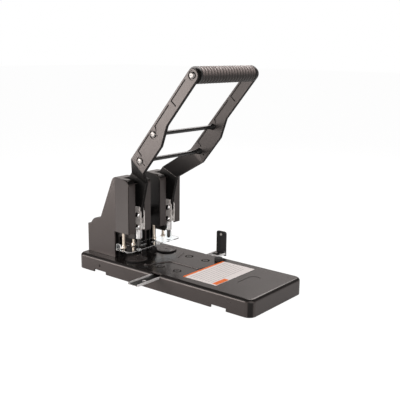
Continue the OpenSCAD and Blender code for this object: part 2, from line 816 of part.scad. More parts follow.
module frame_bolts() {
    color(steel) both_sides() for (y = bolt_ys) translate([punch_x, y, 0]) {
        translate([0, 0, deck_z + frame_web]) cylinder(h = bolt_head_h, r = bolt_head_r, $fn = 6);
        translate([0, 0, chassis_z - bolt_head_h])
            cylinder(h = deck_z + frame_web - chassis_z + bolt_head_h, r = bolt_r);
    }
}

module frame_nuts() {
    color(steel) both_sides() for (y = bolt_ys) translate([punch_x, y, chassis_z - bolt_head_h + lip])
        difference() {
            cylinder(h = bolt_head_h - lip, r = bolt_head_r, $fn = 6);
            translate([0, 0, -cut]) cylinder(h = bolt_head_h + 2 * cut, r = bolt_r);
        }
}

module cover_screws() {
    color(chrome) both_sides() for (z = cover_screw_zs) translate([punch_x, 0, z]) rotate([-90, 0, 0]) {
        translate([0, 0, tower_back]) difference() {
            cylinder(h = screw_head_h, r = screw_head_r);
            translate([0, 0, screw_head_h / 2]) cross_head_cut(screw_head_r / 2, screw_head_h / 2);
        }
        translate([0, 0, frame_back - frame_web])
            cylinder(h = tower_back - frame_back + frame_web, r = screw_r);
    }
}

// Steel guide behind the link plates
guide_y = holder_r + slide_gap;
guide_deep = 10;
guide_bar_deep = 5.2;
guide_foot_h = 10;
guide_top = 140;
guide_slot = lever_t / 2 + lever_clear;
module punch_guide(side) {
    color(steel) on_side(side) difference() {
        translate([punch_x - frame_half, guide_y, frame_throat_z])
            cube([frame_in_w, guide_deep, guide_top - frame_throat_z]);
        translate([punch_x - guide_slot, guide_y - cut, frame_throat_z + guide_foot_h])
            cube([2 * guide_slot, guide_deep + 2 * cut, guide_top]);
        translate([punch_x - frame_in_w, guide_y + guide_bar_deep, frame_throat_z + guide_foot_h])
            cube([2 * frame_in_w, guide_deep, guide_top]);
    }
}

module shaft_bushes() {
    color("peru") both_sides() for (s = [-1, 1]) translate([punch_x, pivot_y, pivot_z])
        rotate([0, 90 * s, 0]) difference() {
            union() {
                translate([0, 0, frame_half]) cylinder(h = frame_t, r = bush_r);
                translate([0, 0, frame_out]) cylinder(h = bush_flange, r = bush_flange_r);
            }
            cylinder(h = 2 * frame_out, r = shaft_r + run_gap);
        }
}
bush_flange_r = 7.4;

// Handle and what turns with it
shaft_end = punch_x + frame_out + bush_flange + slide_gap + 2 * clip_t;
module pivot_shaft() {
    color(steel) translate([0, pivot_y, pivot_z]) bar_x(-shaft_end, shaft_end, shaft_r);
}

module shaft_clips() {
    x = punch_x + frame_out + bush_flange + slide_gap;
    color(black) both_sides() translate([0, pivot_y, pivot_z]) difference() {
        bar_x(x, x + clip_t, shaft_r * ring_share);
        bar_x(x - cut, x + clip_t + cut, shaft_r);
    }
}

module shaft_collar() {
    color(black) translate([0, pivot_y, pivot_z]) difference() {
        bar_x(-collar_w / 2, collar_w / 2, collar_r);
        bar_x(-collar_w, collar_w, shaft_r);
        translate([0, 0, shaft_r / 2]) cylinder(h = collar_r, r = screw_r);
    }
}

module collar_screw() {
    color(steel) translate([0, pivot_y, pivot_z]) difference() {
        cylinder(h = collar_r, r = screw_r);
        bar_x(-collar_w, collar_w, shaft_r);
    }
}

// Torsion springs on the shaft, between the collar and the tower frames
coil_span = punch_x - frame_out - collar_w / 2 - 2 * slide_gap;
module return_springs() {
    path = coil_path(coil_r, coil_span, coil_turns, wire_r);
    echo(return_spring_gap = coil_gap(path, wire_r));
    color(black) both_sides() translate([collar_w / 2 + slide_gap, pivot_y, pivot_z])
        rotate([0, 90, 0]) wire_tube(path, wire_r);
}

module hub_spacers() {
    color(steel) both_sides() for (s = [-1, 1]) translate([punch_x, pivot_y, pivot_z])
        rotate([0, 90 * s, 0]) translate([0, 0, lever_t / 2]) difference() {
            cylinder(h = frame_half - lever_t / 2 - slide_gap, r = shaft_r * ring_share);
            translate([0, 0, -cut]) cylinder(h = frame_half, r = shaft_r);
        }
}

// Places on a leg: s runs down it from the grip axis, t runs across it to the back
module leg_frame() {
    translate([0, -grip_out, grip_z]) rotate([-leg_slope, 0, 0]) children();
}
function rod_place(s, t) = [-grip_out + s * cos(leg_slope) + t * sin(leg_slope),
    grip_z - s * sin(leg_slope) + t * cos(leg_slope)];

leg_front_t = leg_back_t - leg_w;
leg_front_low_t = leg_back_low_t - leg_low_w;

module leg_outline() {
    translate([0, (leg_back_t + leg_front_t) / 2]) circle(leg_w / 2);
    polygon(rounded([[0, leg_back_t, 0], [flare_end_s, leg_back_low_t, 0], [leg_l, leg_back_low_t, 0],
        [leg_l, leg_front_low_t, 0],
        [flare_end_s, leg_front_low_t, leg_round / 3], [flare_start_s, leg_front_t, leg_round / 2],
        [0, leg_front_t, 0]]));
}

// Lines pressed into both faces of a leg: three panels, each with a line along the back and one across
panel_inset = 4;
panel_start_shares = [0.075, 0.35, 0.68];
panel_end_shares = [0.3, 0.585, 0.885];
panel_cross_shares = [0.72, 0.8, 0.82];
panel_jog = 8;
screw_land = 1.4;
module groove(a, b) {
    d = b - a;
    translate(a) rotate(atan2(d.y, d.x)) translate([0, -groove_w / 2]) square([norm(d), groove_w]);
    for (p = [a, b]) translate(p) circle(groove_w / 2);
}

module leg_grooves() difference() {
    for (i = [0:2]) {
        back = (i == 2 ? leg_back_low_t : leg_back_t) - panel_inset;
        front = back + panel_inset - (i == 2 ? leg_low_w : leg_w) * panel_cross_shares[i];
        start = leg_l * panel_start_shares[i];
        end = leg_l * panel_end_shares[i];
        mid = (back + front) / 2;
        groove([start, back], [end, back]);
        if (i == 0) groove([end, back], [end, front]);
        else {
            groove([end, back], [end, mid + panel_jog / 2]);
            groove([end, mid + panel_jog / 2], [end + panel_jog, mid - panel_jog / 2]);
            groove([end + panel_jog, mid - panel_jog / 2], [end + panel_jog, front]);
        }
    }
    leg_holes(recess_head_r + screw_land);
}

module leg_holes(r) {
    for (p = [[0, 0], [upper_rod_s, upper_rod_t], [lower_rod_s, lower_rod_t]]) translate(p) circle(r);
}

neck_back = [neck_y + neck_w / 2 * cos(neck_tilt), neck_z + neck_w / 2 * sin(neck_tilt)];
neck_front = [neck_y - neck_w / 2 * cos(neck_tilt), neck_z - neck_w / 2 * sin(neck_tilt)];
neck_down = [sin(neck_tilt), -cos(neck_tilt)];

throat_shares = [-1, 1.6];
nape_shares = [0.85, 2.6];
module lever_outline() {
    pin = [-pin_out, upper_pin_z];
    hub = [pivot_y, pivot_z];
    m = touch(pin, eye_r, hub, hub_r);
    translate(pin) circle(eye_r);
    translate(hub) circle(hub_r);
    polygon([neck_front, pin + eye_r * throat_shares, pin + eye_r * [-1, 0], pin + eye_r * m, hub + hub_r * m,
        hub, hub + hub_r * [1, 0], hub + hub_r * nape_shares, neck_back]);
}

// Slot that the upper pin slides in as the lever turns
slot_near = arm - side_gap;
slot_far = max(arm / cos(arm_up), arm / cos(arm_down)) + slide_gap;
slot_half = pin_r + eye_clear;
module eye_slot() {
    translate([pivot_y, pivot_z]) rotate(180 - arm_up) {
        translate([slot_near, -slot_half]) square([slot_far - slot_near, 2 * slot_half]);
        for (x = [slot_near, slot_far]) translate([x, 0]) circle(slot_half);
    }
}

module lever(side) {
    color(handle_grey) on_side(side) difference() {
        union() {
            leg_frame() across(leg_in_x, leg_out_x) leg_outline();
            hull() {
                leg_frame() across(leg_in_x + neck_step, leg_out_x - neck_step)
                    translate([leg_l - weld, leg_front_low_t + neck_step])
                        square([weld, leg_low_w - 2 * neck_step]);
                across(punch_x - lever_t / 2, punch_x + lever_t / 2)
                    polygon([neck_front, neck_back, neck_back + weld * neck_down,
                        neck_front + weld * neck_down]);
            }
            across(punch_x - lever_t / 2, punch_x + lever_t / 2) lever_outline();
        }
        leg_frame() {
            across(leg_in_x - cut, leg_out_x + cut) leg_holes(head_shank_r);
            across(leg_out_x - recess_head_d, leg_out_x + cut) leg_holes(recess_head_r);
            across(leg_out_x - groove_d, leg_out_x + cut) leg_grooves();
            across(leg_in_x - cut, leg_in_x + groove_d) leg_grooves();
        }
        across(punch_x - lever_t, punch_x + lever_t) eye_slot();
        translate([0, pivot_y, pivot_z]) bar_x(punch_x - lever_t, punch_x + lever_t, shaft_r);
    }
}

head_shank_r = 2;
head_screw_l = 14;
pan_share = 0.67;
module grip_core() {
    color(steel) translate([0, -grip_out, grip_z]) difference() {
        bar_x(-leg_in_x, leg_in_x, core_r);
        both_sides() bar_x(leg_in_x - head_screw_l, leg_in_x + cut, head_shank_r);
    }
}

// Sleeve with its ribs as a turned profile
rib_shares = [[0, 0], [0.18, 0.1], [0.34, 0.9], [0.5, 1], [0.66, 0.9], [0.82, 0.1]];
module grip_sleeve() {
    l = 2 * (leg_in_x - collar_l);
    pitch = l / ribs;
    color(handle_grey) translate([-l / 2, -grip_out, grip_z]) rotate([0, 90, 0]) rotate_extrude()
        polygon(concat([[core_r, l], [core_r, 0]],
            [for (i = [0:ribs - 1]) for (p = rib_shares)
                [grip_r - rib_depth + p.y * rib_depth, (i + p.x) * pitch]],
            [[grip_r - rib_depth, l]]));
}

module grip_collars() {
    color(black) both_sides() translate([0, -grip_out, grip_z]) difference() {
        bar_x(leg_in_x - collar_l, leg_in_x, grip_r);
        bar_x(leg_in_x - 2 * collar_l, leg_in_x + cut, core_r);
    }
}

module cross_rod(s, t) {
    p = rod_place(s, t);
    color(handle_grey) translate([0, p.x, p.y]) difference() {
        union() {
            bar_x(-leg_in_x, leg_in_x, rod_r);
            both_sides() translate([leg_in_x, 0, 0]) rotate([0, -90, 0])
                cylinder(h = rod_boss_l, r1 = rod_boss_r, r2 = rod_r - lip);
        }
        both_sides() bar_x(leg_in_x - head_screw_l, leg_in_x + cut, head_shank_r);
    }
}

module handle_screws() {
    color(chrome) for (q = [[0, 0], [upper_rod_s, upper_rod_t], [lower_rod_s, lower_rod_t]]) {
        p = rod_place(q.x, q.y);
        both_sides() translate([leg_out_x - recess_head_d, p.x, p.y]) rotate([0, 90, 0]) {
            difference() {
                rotate_extrude() polygon(concat([[0, 0], [head_screw_r, 0]],
                    [for (a = [15:15:90]) [head_screw_r * (1 - pan_share + pan_share * cos(a)),
                        head_screw_h * (1 - pan_share + pan_share * sin(a))]],
                    [[0, head_screw_h]]));
                translate([0, 0, head_screw_h / 2]) cross_head_cut(head_screw_r / 2, head_screw_h / 2);
            }
            translate([0, 0, -head_screw_l - leg_t + recess_head_d])
                cylinder(h = head_screw_l + leg_t - recess_head_d, r = head_shank_r);
        }
    }
}

// Punch slides
link_back = guide_y - side_gap;
link_out = frame_half - side_gap;
link_in = link_out - link_t;
link_round = 1;
link_end = 2.5;
link_low_z = lower_pin_z - pin_r - link_end;
link_taper = 2.7;
link_step = 2.5;
module links(side) {
    step = upper_pin_z + 2 * pin_r;
    color(steel) on_side(side) for (s = [-1, 1])
        translate([punch_x + s * (link_out - link_t / 2), 0, 0]) difference() {
            across(-link_t / 2, link_t / 2) polygon(rounded([
                [-link_front, link_low_z, link_round], [link_back, link_low_z, link_round],
                [link_back, step, link_round], [link_back - link_taper, step + link_step, link_round],
                [link_back - link_taper, link_top_z, link_round],
                [-link_front + link_taper, link_top_z, link_round],
                [-link_front + link_taper, step + link_step, link_round], [-link_front, step, link_round]]));
            for (z = [lower_pin_z, upper_pin_z]) translate([0, -pin_out, z]) bar_x(-link_t, link_t, pin_r);
        }
}

// Pin through both links, with a domed head at each end
pin_head_r = 5;
pin_head_t = 2.6;
module slide_pin(side, z) {
    color(chrome) on_side(side) translate([punch_x, -pin_out, z]) {
        bar_x(-link_out, link_out, pin_r);
        for (a = [-90, 90]) rotate([0, a, 0]) translate([0, 0, link_out]) rotate_extrude()
            polygon(concat([[0, 0]], [for (a = [0:15:90]) [pin_head_r * cos(a), pin_head_t * sin(a)]]));
    }
}

tongue_top = 100;
tongue_w = 11;
holder_round = 1.5;
module punch_holder(side) {
    top = link_low_z - slide_gap;
    color(chrome) on_side(side) translate([punch_x, 0, 0]) difference() {
        union() {
            translate([0, 0, holder_z])
                cylinder(h = holder_round, r1 = holder_r - holder_round, r2 = holder_r);
            translate([0, 0, holder_z + holder_round])
                cylinder(h = top - holder_z - holder_round, r = holder_r);
            across(-link_in, link_in) polygon([[-holder_r + link_round, top - link_round],
                [holder_r - link_round, top - link_round], [holder_r - link_round, tongue_top],
                [-pin_out - tongue_w / 2, tongue_top], [-pin_out - tongue_w / 2, top + link_round]]);
        }
        translate([0, 0, holder_z - cut]) cylinder(h = punch_in + cut, r = punch_r);
        translate([0, -pin_out, lower_pin_z]) bar_x(-holder_r, holder_r, pin_r);
    }
}

punch_in = 13;
module punch(side) {
    inner = punch_r - punch_wall;
    top = holder_z + punch_in - tip_z;
    color(steel) on_side(side) translate([punch_x, 0, tip_z]) rotate_extrude() polygon([
        [inner, 0], [inner + punch_wall / 4, 0], [punch_r, punch_wall * 3], [punch_r, top], [inner, top]]);
}

// Clear guard with its posts
ear_up = 11;
ear_w = 11;
ear_y = 18;
guard_round = 8;
guard_hole_gap = 0.6;
guard_slot_w = stop_tab_w + 2 * guard_hole_gap;
module clear_guard() {
    x = guard_l / 2;
    color([0.9, 0.95, 1, 0.4]) difference() {
        union() {
            translate([0, 0, guard_z]) linear_extrude(guard_t) polygon(rounded([
                [-x, -guard_front, guard_round], [x, -guard_front, guard_round],
                [x, guard_back, guard_t], [-x, guard_back, guard_t]]));
            both_sides() across(x - guard_t, x) polygon(rounded([[ear_y, guard_z, 0],
                [ear_y + ear_w, guard_z, 0], [ear_y + ear_w, guard_top + ear_up, ear_w / 2 - lip],
                [ear_y, guard_top + ear_up, ear_w / 2 - lip]]));
        }
        both_sides() {
            translate([punch_x, 0, guard_z - cut])
                cylinder(h = guard_t + 2 * cut, r = punch_r + guard_hole_gap);
            for (s = [-1, 1]) translate([punch_x + s * post_x, post_y, guard_z - cut])
                cylinder(h = guard_t + 2 * cut, r = post_r);
            translate([stop_tab_x - guard_slot_w / 2, stop_tab_y - guard_hole_gap, guard_z - cut])
                cube([guard_slot_w, stop_tab_t + 2 * guard_hole_gap, guard_t + 2 * cut]);
        }
    }
}

module guard_posts() {
    color("wheat") both_sides() for (s = [-1, 1]) translate([punch_x + s * post_x, post_y, 0]) {
        translate([0, 0, guard_z]) cylinder(h = post_top - guard_z, r = post_r);
        translate([0, 0, guard_top]) rotate_extrude() polygon([[0, 0], [post_foot_r, 0],
            [post_foot_r, post_foot_h / 4], [post_r, post_foot_h], [0, post_foot_h]]);
    }
}

module post_heads() {
    color(black) both_sides() for (s = [-1, 1])
        translate([punch_x + s * post_x, post_y, post_top - post_head_h]) difference() {
            cylinder(h = post_head_h, r = post_head_r);
            translate([0, 0, -cut]) cylinder(h = post_head_h + 2 * cut, r = post_r);
        }
}

// Springs that lift the guard, between the frame ears and the post heads
spring_l = post_top - post_head_h - ear_z - ear_t;
module guard_springs() {
    path = coil_path(spring_r, spring_l, spring_turns, spring_wire_r);
    echo(guard_spring_gap = coil_gap(path, spring_wire_r));
    color(steel) both_sides() for (s = [-1, 1])
        translate([punch_x + s * post_x, post_y, ear_z + ear_t]) wire_tube(path, spring_wire_r);
}

echo(stroke = stroke, turn = turn, guard_drop = guard_drop);

base_cover();
bottom_plate();
rubber_feet();
bottom_screws();
side_screws();
chassis_plate();
rail_carrier();
deck_screws();
cutting_disc("left");  // cutting_disc_left
cutting_disc("right");  // cutting_disc_right
disc_pins();
paper_label();
badge_plate();
paper_stops();
stop_screws();
guide_rail();
guide_stop();
stop_rivets();
guide_lock_knob();
lock_clamp();
tower_cover("left");  // tower_cover_left
tower_cover("right");  // tower_cover_right
tower_frame("left");  // tower_frame_left
tower_frame("right");  // tower_frame_right
frame_bolts();
frame_nuts();
cover_screws();
punch_guide("left");  // punch_guide_left
punch_guide("right");  // punch_guide_right
shaft_bushes();
pivot_shaft();
shaft_clips();
shaft_collar();
collar_screw();
return_springs();
hub_spacers();
lever("left");  // lever_left
lever("right");  // lever_right
grip_core();
grip_sleeve();
grip_collars();
cross_rod(upper_rod_s, upper_rod_t);  // upper_rod
cross_rod(lower_rod_s, lower_rod_t);  // lower_rod
handle_screws();
links("left");  // links_left
links("right");  // links_right
slide_pin("left", upper_pin_z);  // upper_pin_left
slide_pin("right", upper_pin_z);  // upper_pin_right
slide_pin("left", lower_pin_z);  // lower_pin_left
slide_pin("right", lower_pin_z);  // lower_pin_right
punch_holder("left");  // punch_holder_left
punch_holder("right");  // punch_holder_right
punch("left");  // punch_left
punch("right");  // punch_right
clear_guard();
guard_posts();
post_heads();
guard_springs();
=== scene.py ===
"""Heavy-duty two-hole lever punch: its finishes, fine shapes and studio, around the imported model."""

import json
import math

import bmesh
import bpy
from mathutils import Matrix, Vector

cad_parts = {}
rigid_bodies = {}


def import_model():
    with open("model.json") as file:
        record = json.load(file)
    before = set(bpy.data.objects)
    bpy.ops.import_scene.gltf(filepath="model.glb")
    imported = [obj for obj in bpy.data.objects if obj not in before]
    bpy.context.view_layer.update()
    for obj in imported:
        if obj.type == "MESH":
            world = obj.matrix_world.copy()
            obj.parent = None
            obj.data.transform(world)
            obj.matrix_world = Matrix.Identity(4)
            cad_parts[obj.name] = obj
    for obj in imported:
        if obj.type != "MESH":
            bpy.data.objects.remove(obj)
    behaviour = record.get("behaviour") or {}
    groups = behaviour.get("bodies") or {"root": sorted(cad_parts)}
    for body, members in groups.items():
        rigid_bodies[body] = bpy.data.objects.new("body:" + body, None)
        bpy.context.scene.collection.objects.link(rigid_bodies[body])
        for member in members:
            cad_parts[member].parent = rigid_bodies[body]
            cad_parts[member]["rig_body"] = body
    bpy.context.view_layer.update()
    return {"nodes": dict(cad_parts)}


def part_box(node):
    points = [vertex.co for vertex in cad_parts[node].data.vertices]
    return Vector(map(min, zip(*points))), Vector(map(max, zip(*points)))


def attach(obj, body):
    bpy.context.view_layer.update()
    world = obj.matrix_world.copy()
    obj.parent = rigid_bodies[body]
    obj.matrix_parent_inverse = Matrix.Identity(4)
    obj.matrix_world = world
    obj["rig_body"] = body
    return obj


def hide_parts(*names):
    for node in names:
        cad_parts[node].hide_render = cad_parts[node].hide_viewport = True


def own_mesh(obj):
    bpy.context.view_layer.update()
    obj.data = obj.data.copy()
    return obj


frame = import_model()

bl_info = {
    "name": "Lever punch finishes",
    "version": (1, 0, 0),
    "blender": (4, 5, 0),
    "location": "3D View > Sidebar > Punch",
    "description": "Dresses the packed two-hole lever punch and sets up its studio",
    "category": "Object",
}

MM = 0.001

# The legs of the handle. Their slope is in degrees. Places on them are in millimetres, down the
# leg from the grip axis and across it. LEG_FACES are the distances of their faces from the middle.
LEG_SLOPE = 50.5
LEG_SCREWS = ((0.0, 0.0), (125.0, 0.7), (180.0, -6.2))
LEG_SCREW_SEAT = 7.1
LEG_END = 189.0
LEG_FACES = (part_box("grip_core")[1].x / MM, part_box("lever_right")[1].x / MM)

# Edges of the CAD meshes, as broken_edges reads them
WELD = 0.002 * MM
ONE_FACE = math.radians(0.3)
SHARP_EDGE = math.radians(34.0)

# Colours that no panel setting changes
WARM_SHEEN = (1.0, 0.92, 0.89)
# The next three colours are painted shade: shaded places, grip grooves and the guide channel's floor.
PAINTED_SHADE_BLACK = (0.003, 0.003, 0.003)
GROOVE_SHADE_BLACK = (0.002, 0.002, 0.002)
CHANNEL_FLOOR_SHADE = (0.01, 0.01, 0.01)
RULE_GREY = (0.2, 0.19, 0.19)
COLUMN_GREY = (0.4, 0.4, 0.4)
BRONZE = (0.6, 0.4, 0.18)
CLEAR_TINT = (0.93, 0.97, 0.98)
RIM_TINT = (0.88, 0.9, 0.9)
WHITE = (1.0, 1.0, 1.0)

# The camera, in degrees, metres and millimetres
CAMERA_YAW, CAMERA_PITCH, CAMERA_ROLL = -51.21, 12.53, 0.70
CAMERA_CLIP = (0.05, 40.0)
CAMERA_PLACE = (-878.86, -812.98, 400.97)


def mm(*values):
    """Millimetres as a vector in metres."""
    return Vector(values) * MM


def middle_of(node):
    """The middle of a node's box."""
    low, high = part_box(node)
    return (low + high) / 2


def down_leg(back, rise):
    """A place behind and above the grip axis, as one down the leg and across it."""
    slope = math.radians(LEG_SLOPE)
    along = back * math.cos(slope) - rise * math.sin(slope)
    over = back * math.sin(slope) + rise * math.cos(slope)
    return along, over


# Shader maths


class Wire:
    """One socket of a material, so that sums of sockets read as plain arithmetic."""

    def __init__(self, finish, socket):
        self.finish = finish
        self.socket = socket

    def _sum(self, operation, *values):
        sockets = dict(enumerate(values))
        return self.finish.node("ShaderNodeMath", {"operation": operation}, sockets)

    def __add__(self, other):
        return self._sum("ADD", self, other)

    def __radd__(self, other):
        return self._sum("ADD", other, self)

    def __sub__(self, other):
        return self._sum("SUBTRACT", self, other)

    def __rsub__(self, other):
        return self._sum("SUBTRACT", other, self)

    def __mul__(self, other):
        return self._sum("MULTIPLY", self, other)

    def __truediv__(self, other):
        return self._sum("DIVIDE", self, other)

    def __pow__(self, other):
        return self._sum("POWER", self, other)

    def __abs__(self):
        return self._sum("ABSOLUTE", self)

    def __gt__(self, other):
        return self._sum("GREATER_THAN", self, other)

    def __lt__(self, other):
        return self._sum("LESS_THAN", self, other)

    def wrap(self, size):
        """The rest after whole steps of this size."""
        return self._sum("WRAP", self, size, 0.0)

    def between(self, low, high):
        """1 between two values, and 0 outside them."""
        return (self > low) * (self < high)


class Shader:
    """A tree of shader nodes, built node by node."""

    def __init__(self, tree):
        self.tree = tree
        self.tree.nodes.clear()

    def node(self, kind, settings=None, sockets=None, out=0):
        """Adds a node: its settings first, then the values or links of its sockets."""
        node = self.tree.nodes.new(kind)
        for name, value in (settings or {}).items():
            if name == "stops":
                self._stops(node.color_ramp, value)
            else:
                setattr(node, name, value)
        for key, value in (sockets or {}).items():
            target = node.inputs[key]
            if isinstance(value, Wire):
                self.tree.links.new(value.socket, target)
            elif isinstance(value, tuple) and target.type == "RGBA":
                target.default_value = (*value[:3], 1.0)
            else:
                target.default_value = value
        return Wire(self, node.outputs[out])

    def _stops(self, ramp, stops):
        while len(ramp.elements) > 1:
            ramp.elements.remove(ramp.elements[-1])
        ramp.elements[0].position = stops[0][0]
        ramp.elements[0].color = _grey(stops[0][1])
        for place, value in stops[1:]:
            ramp.elements.new(place).color = _grey(value)

    def level(self, value, low, high):
        """0 up to low, 1 from high, and smooth between them."""
        return self.node("ShaderNodeMapRange", {"interpolation_type": "SMOOTHSTEP"},
                         {"Value": value, "From Min": low, "From Max": high})

    def most(self, first, second):
        """The larger of two values."""
        return self.node("ShaderNodeMath", {"operation": "MAXIMUM"}, {0: first, 1: second})

    def mix(self, share, first, second):
        """Mixes two colours."""
        return self.node("ShaderNodeMix", {"data_type": "RGBA"},
                         {0: share, 6: first, 7: second}, out=2)

    def parts(self, point):
        """X, Y and Z of a point."""
        node = self.tree.nodes.new("ShaderNodeSeparateXYZ")
        self.tree.links.new(point.socket, node.inputs[0])
        return [Wire(self, node.outputs[i]) for i in range(3)]

    def rays(self):
        """1 for camera rays, for rays through clear pieces, and for mirrored rays."""
        path = self.tree.nodes.new("ShaderNodeLightPath")
        names = ("Is Camera Ray", "Is Transmission Ray", "Is Glossy Ray")
        return [Wire(self, path.outputs[name]) for name in names]


class Finish(Shader):
    """A material built node by node."""

    def __init__(self, name):
        self.material = bpy.data.materials.new(name)
        self.material.use_nodes = True
        super().__init__(self.material.node_tree)
        self.output = self.tree.nodes.new("ShaderNodeOutputMaterial")

    def place(self, stretch=None):
        """The point on the piece, in its own metres, stretched per axis if asked."""
        point = self.node("ShaderNodeTexCoord", out="Object")
        if stretch is None:
            return point
        return self.node("ShaderNodeVectorMath", {"operation": "MULTIPLY"},
                         {0: point, 1: stretch})

    def noise(self, point, scale, detail=2.0, roughness=0.5):
        """Cloudy noise. A scale of 1000 has spots of about a millimetre."""
        return self.node("ShaderNodeTexNoise", None,
                         {"Vector": point, "Scale": scale, "Detail": detail,
                          "Roughness": roughness})

    def ramp(self, value, *stops):
        """Turns a value into a grey by stops of place and grey."""
        return self.node("ShaderNodeValToRGB", {"stops": stops}, {0: value})

    def bump(self, height, depth):
        """Fine relief of a depth in metres."""
        return self.node("ShaderNodeBump", None,
                         {"Height": height, "Distance": depth, "Strength": 1.0})

    def facing(self):
        """The three parts of the surface's direction."""
        return self.parts(self.node("ShaderNodeNewGeometry", out="Normal"))

    def principled(self, **sockets):
        """A Principled shader. Its sockets are named in small letters with underscores."""
        named = {}
        for name, value in sockets.items():
            named[name.replace("_", " ").title().replace("Ior", "IOR")] = value
        return self.node("ShaderNodeBsdfPrincipled", None, named)

    def close(self, shader):
        """Ends the material in a shader."""
        self.tree.links.new(shader.socket, self.output.inputs["Surface"])
        return self.material

    def surface(self, **sockets):
        """Ends the material in a Principled shader with these sockets."""
        return self.close(self.principled(**sockets))


def _grey(value):
    return (value, value, value, 1.0)


def shade(colour, factor):
    """A colour made darker or lighter."""
    return tuple(min(1.0, channel * factor) for channel in colour[:3])


# Finishes


def paint(name, colour, gloss, grain=0.5, worn=0.5, shade_of=None, top=1.0):
    """Satin powder coat: fine orange peel, faint clouding and handling marks.

    shade_of, if given, takes the finish and returns a mask of places painted dull black as shade.
    top is how much of the colour is left on level surfaces, painted darker as shade; they also lie
    smoother.
    """
    finish = Finish(name)
    point = finish.place()
    peel = finish.noise(point, 950.0, 2.0)
    cloud = finish.noise(point, 11.0, 4.0, 0.6)
    streaks = finish.noise(finish.place((1.0, 0.35, 1.0)), 46.0, 5.0, 0.65)
    rub = finish.ramp(streaks, (0.5, 0.0), (0.74, 1.0))
    tone = finish.mix(cloud, shade(colour, 0.88), shade(colour, 1.12))
    tone = finish.mix(rub * 0.12 * worn, tone, shade(colour, 1.7))
    relief = finish.bump(peel, 0.02 * MM * grain)
    if top < 1.0:
        # Painted shade: level surfaces get a darker colour, and a little less roughness.
        level = finish.level(finish.facing()[2], 0.85, 0.97)
        tone = finish.mix(level, tone, shade(colour, top))
        gloss = gloss - level * 0.07
    coat = finish.principled(base_color=tone,
                             roughness=gloss + cloud * 0.06 - rub * 0.05 * worn,
                             specular_tint=WARM_SHEEN, normal=relief)
    if shade_of is None:
        return finish.close(coat)
    # The shade coat: dull black, painted where the mask says shade.
    dull = finish.principled(base_color=PAINTED_SHADE_BLACK, roughness=0.55 + peel * 0.1,
                             specular_ior_level=0.12, normal=relief)
    mask = shade_of(finish)
    return finish.close(finish.node("ShaderNodeMixShader", None, {0: mask, 1: coat, 2: dull}))


def cover_painted_shade(finish):
    """Painted shade on the covers' rounded corners, deck steps and walls between towers."""
    x, y, z = finish.parts(finish.place())
    side, front, up = finish.facing()
    # Painted shade on rounded corners and edges.
    corner = finish.most(abs(side * front), finish.most(abs(side) * up, (0.0 - front) * up))
    corner = finish.level(corner, 0.3, 0.46) * 0.85
    in_front = y < -12 * MM
    # Painted shade on the steps of the deck ahead of the towers.
    steps = z.between(28.2 * MM, 34 * MM) * (up < 0.9) * in_front
    # Painted shade on the walls that face each other between the towers.
    inward = side * x < -6 * MM
    gap_shade = (abs(x) < 30 * MM) * (z > 32 * MM) * inward
    return finish.most(corner, finish.most(steps * 0.8, gap_shade * 0.85))


def disc_painted_shade(finish):
    """Painted shade on the walls of a disc."""
    return 1.0 - finish.level(finish.facing()[2], 0.5, 0.95)


def leg_painted_shade(finish):
    """Painted shade on a lever: cut walls, lines in its faces, inner face, neck and lower end."""
    x, y, z = finish.parts(finish.place())
    grip = middle_of("grip_core")
    along, over = down_leg((y - grip.y) / MM, (z - grip.z) / MM)
    # Painted shade on the cut walls and pressed lines, but not on the screw seats.
    walls = (abs(x) / MM).between(LEG_FACES[0] + 0.1, LEG_FACES[1] - 0.1)
    for near, aside in LEG_SCREWS:
        apart = (along - near) ** 2.0 + (over - aside) ** 2.0
        walls = walls * (apart > LEG_SCREW_SEAT ** 2)
    # Painted shade low on the lever, where it runs into its tower, and at the lower end of each leg.
    neck = 1.0 - finish.level(z / MM, 178.0, 206.0)
    end = finish.level(along, LEG_END, LEG_END + 5.0) * 0.85
    # Painted shade on the inner faces of the legs.
    inner = (finish.facing()[0] * x < -50 * MM) * 0.5
    return finish.most(finish.most(walls * 0.9, inner), finish.most(neck, end) * 0.95)


def bare_metal(name, colour, rough, stretch=(1.0, 1.0, 1.0), stain=0.25):
    """Bare or plated metal with fine marks along one way and faint staining."""
    finish = Finish(name)
    lines = finish.noise(finish.place(stretch), 420.0, 3.0, 0.7)
    spots = finish.noise(finish.place(), 120.0, 4.0, 0.6)
    spots = finish.ramp(spots, (0.44, 0.0), (0.72, 1.0))
    tone = finish.mix(spots * stain, colour, shade(colour, 0.6))
    return finish.surface(base_color=tone, metallic=1.0,
                          roughness=rough + lines * 0.14 + spots * 0.1,
                          normal=finish.bump(lines, 0.006 * MM))


def satin(name, colour, rough=0.42):
    """Dull zinc plate, pale from every side, with faint rolling marks and spots."""
    finish = Finish(name)
    rolled = finish.noise(finish.place((6.0, 6.0, 0.8)), 300.0, 3.0, 0.6)
    spots = finish.noise(finish.place(), 160.0, 4.0, 0.6)
    spots = finish.ramp(spots, (0.46, 0.0), (0.7, 1.0))
    tone = finish.mix(rolled * 0.5 + spots * 0.3, colour, shade(colour, 0.7))
    return finish.surface(base_color=tone, metallic=0.35, roughness=rough + spots * 0.1,
                          normal=finish.bump(rolled, 0.008 * MM))


def ribbed(name, colour, start, pitch):
    """Grip plastic with painted shade in the grooves between its ribs and on its underside."""
    finish = Finish(name)
    x, _, _ = finish.parts(finish.place())
    grain = finish.noise(finish.place(), 700.0, 2.0)
    groove_shade = finish.level(abs(((x - start) / pitch).wrap(1.0) - 0.5), 0.2, 0.5)
    # Painted light and shade: full colour facing up, near black facing down.
    lit = finish.level(finish.facing()[2], -0.25, 0.95)
    tone = finish.mix(lit, shade(colour, 0.04), colour)
    tone = finish.mix(groove_shade * 0.85, tone, GROOVE_SHADE_BLACK)
    return finish.surface(base_color=tone, roughness=0.3 + grain * 0.06 + groove_shade * 0.25,
                          specular_tint=WARM_SHEEN, normal=finish.bump(grain, 0.006 * MM))


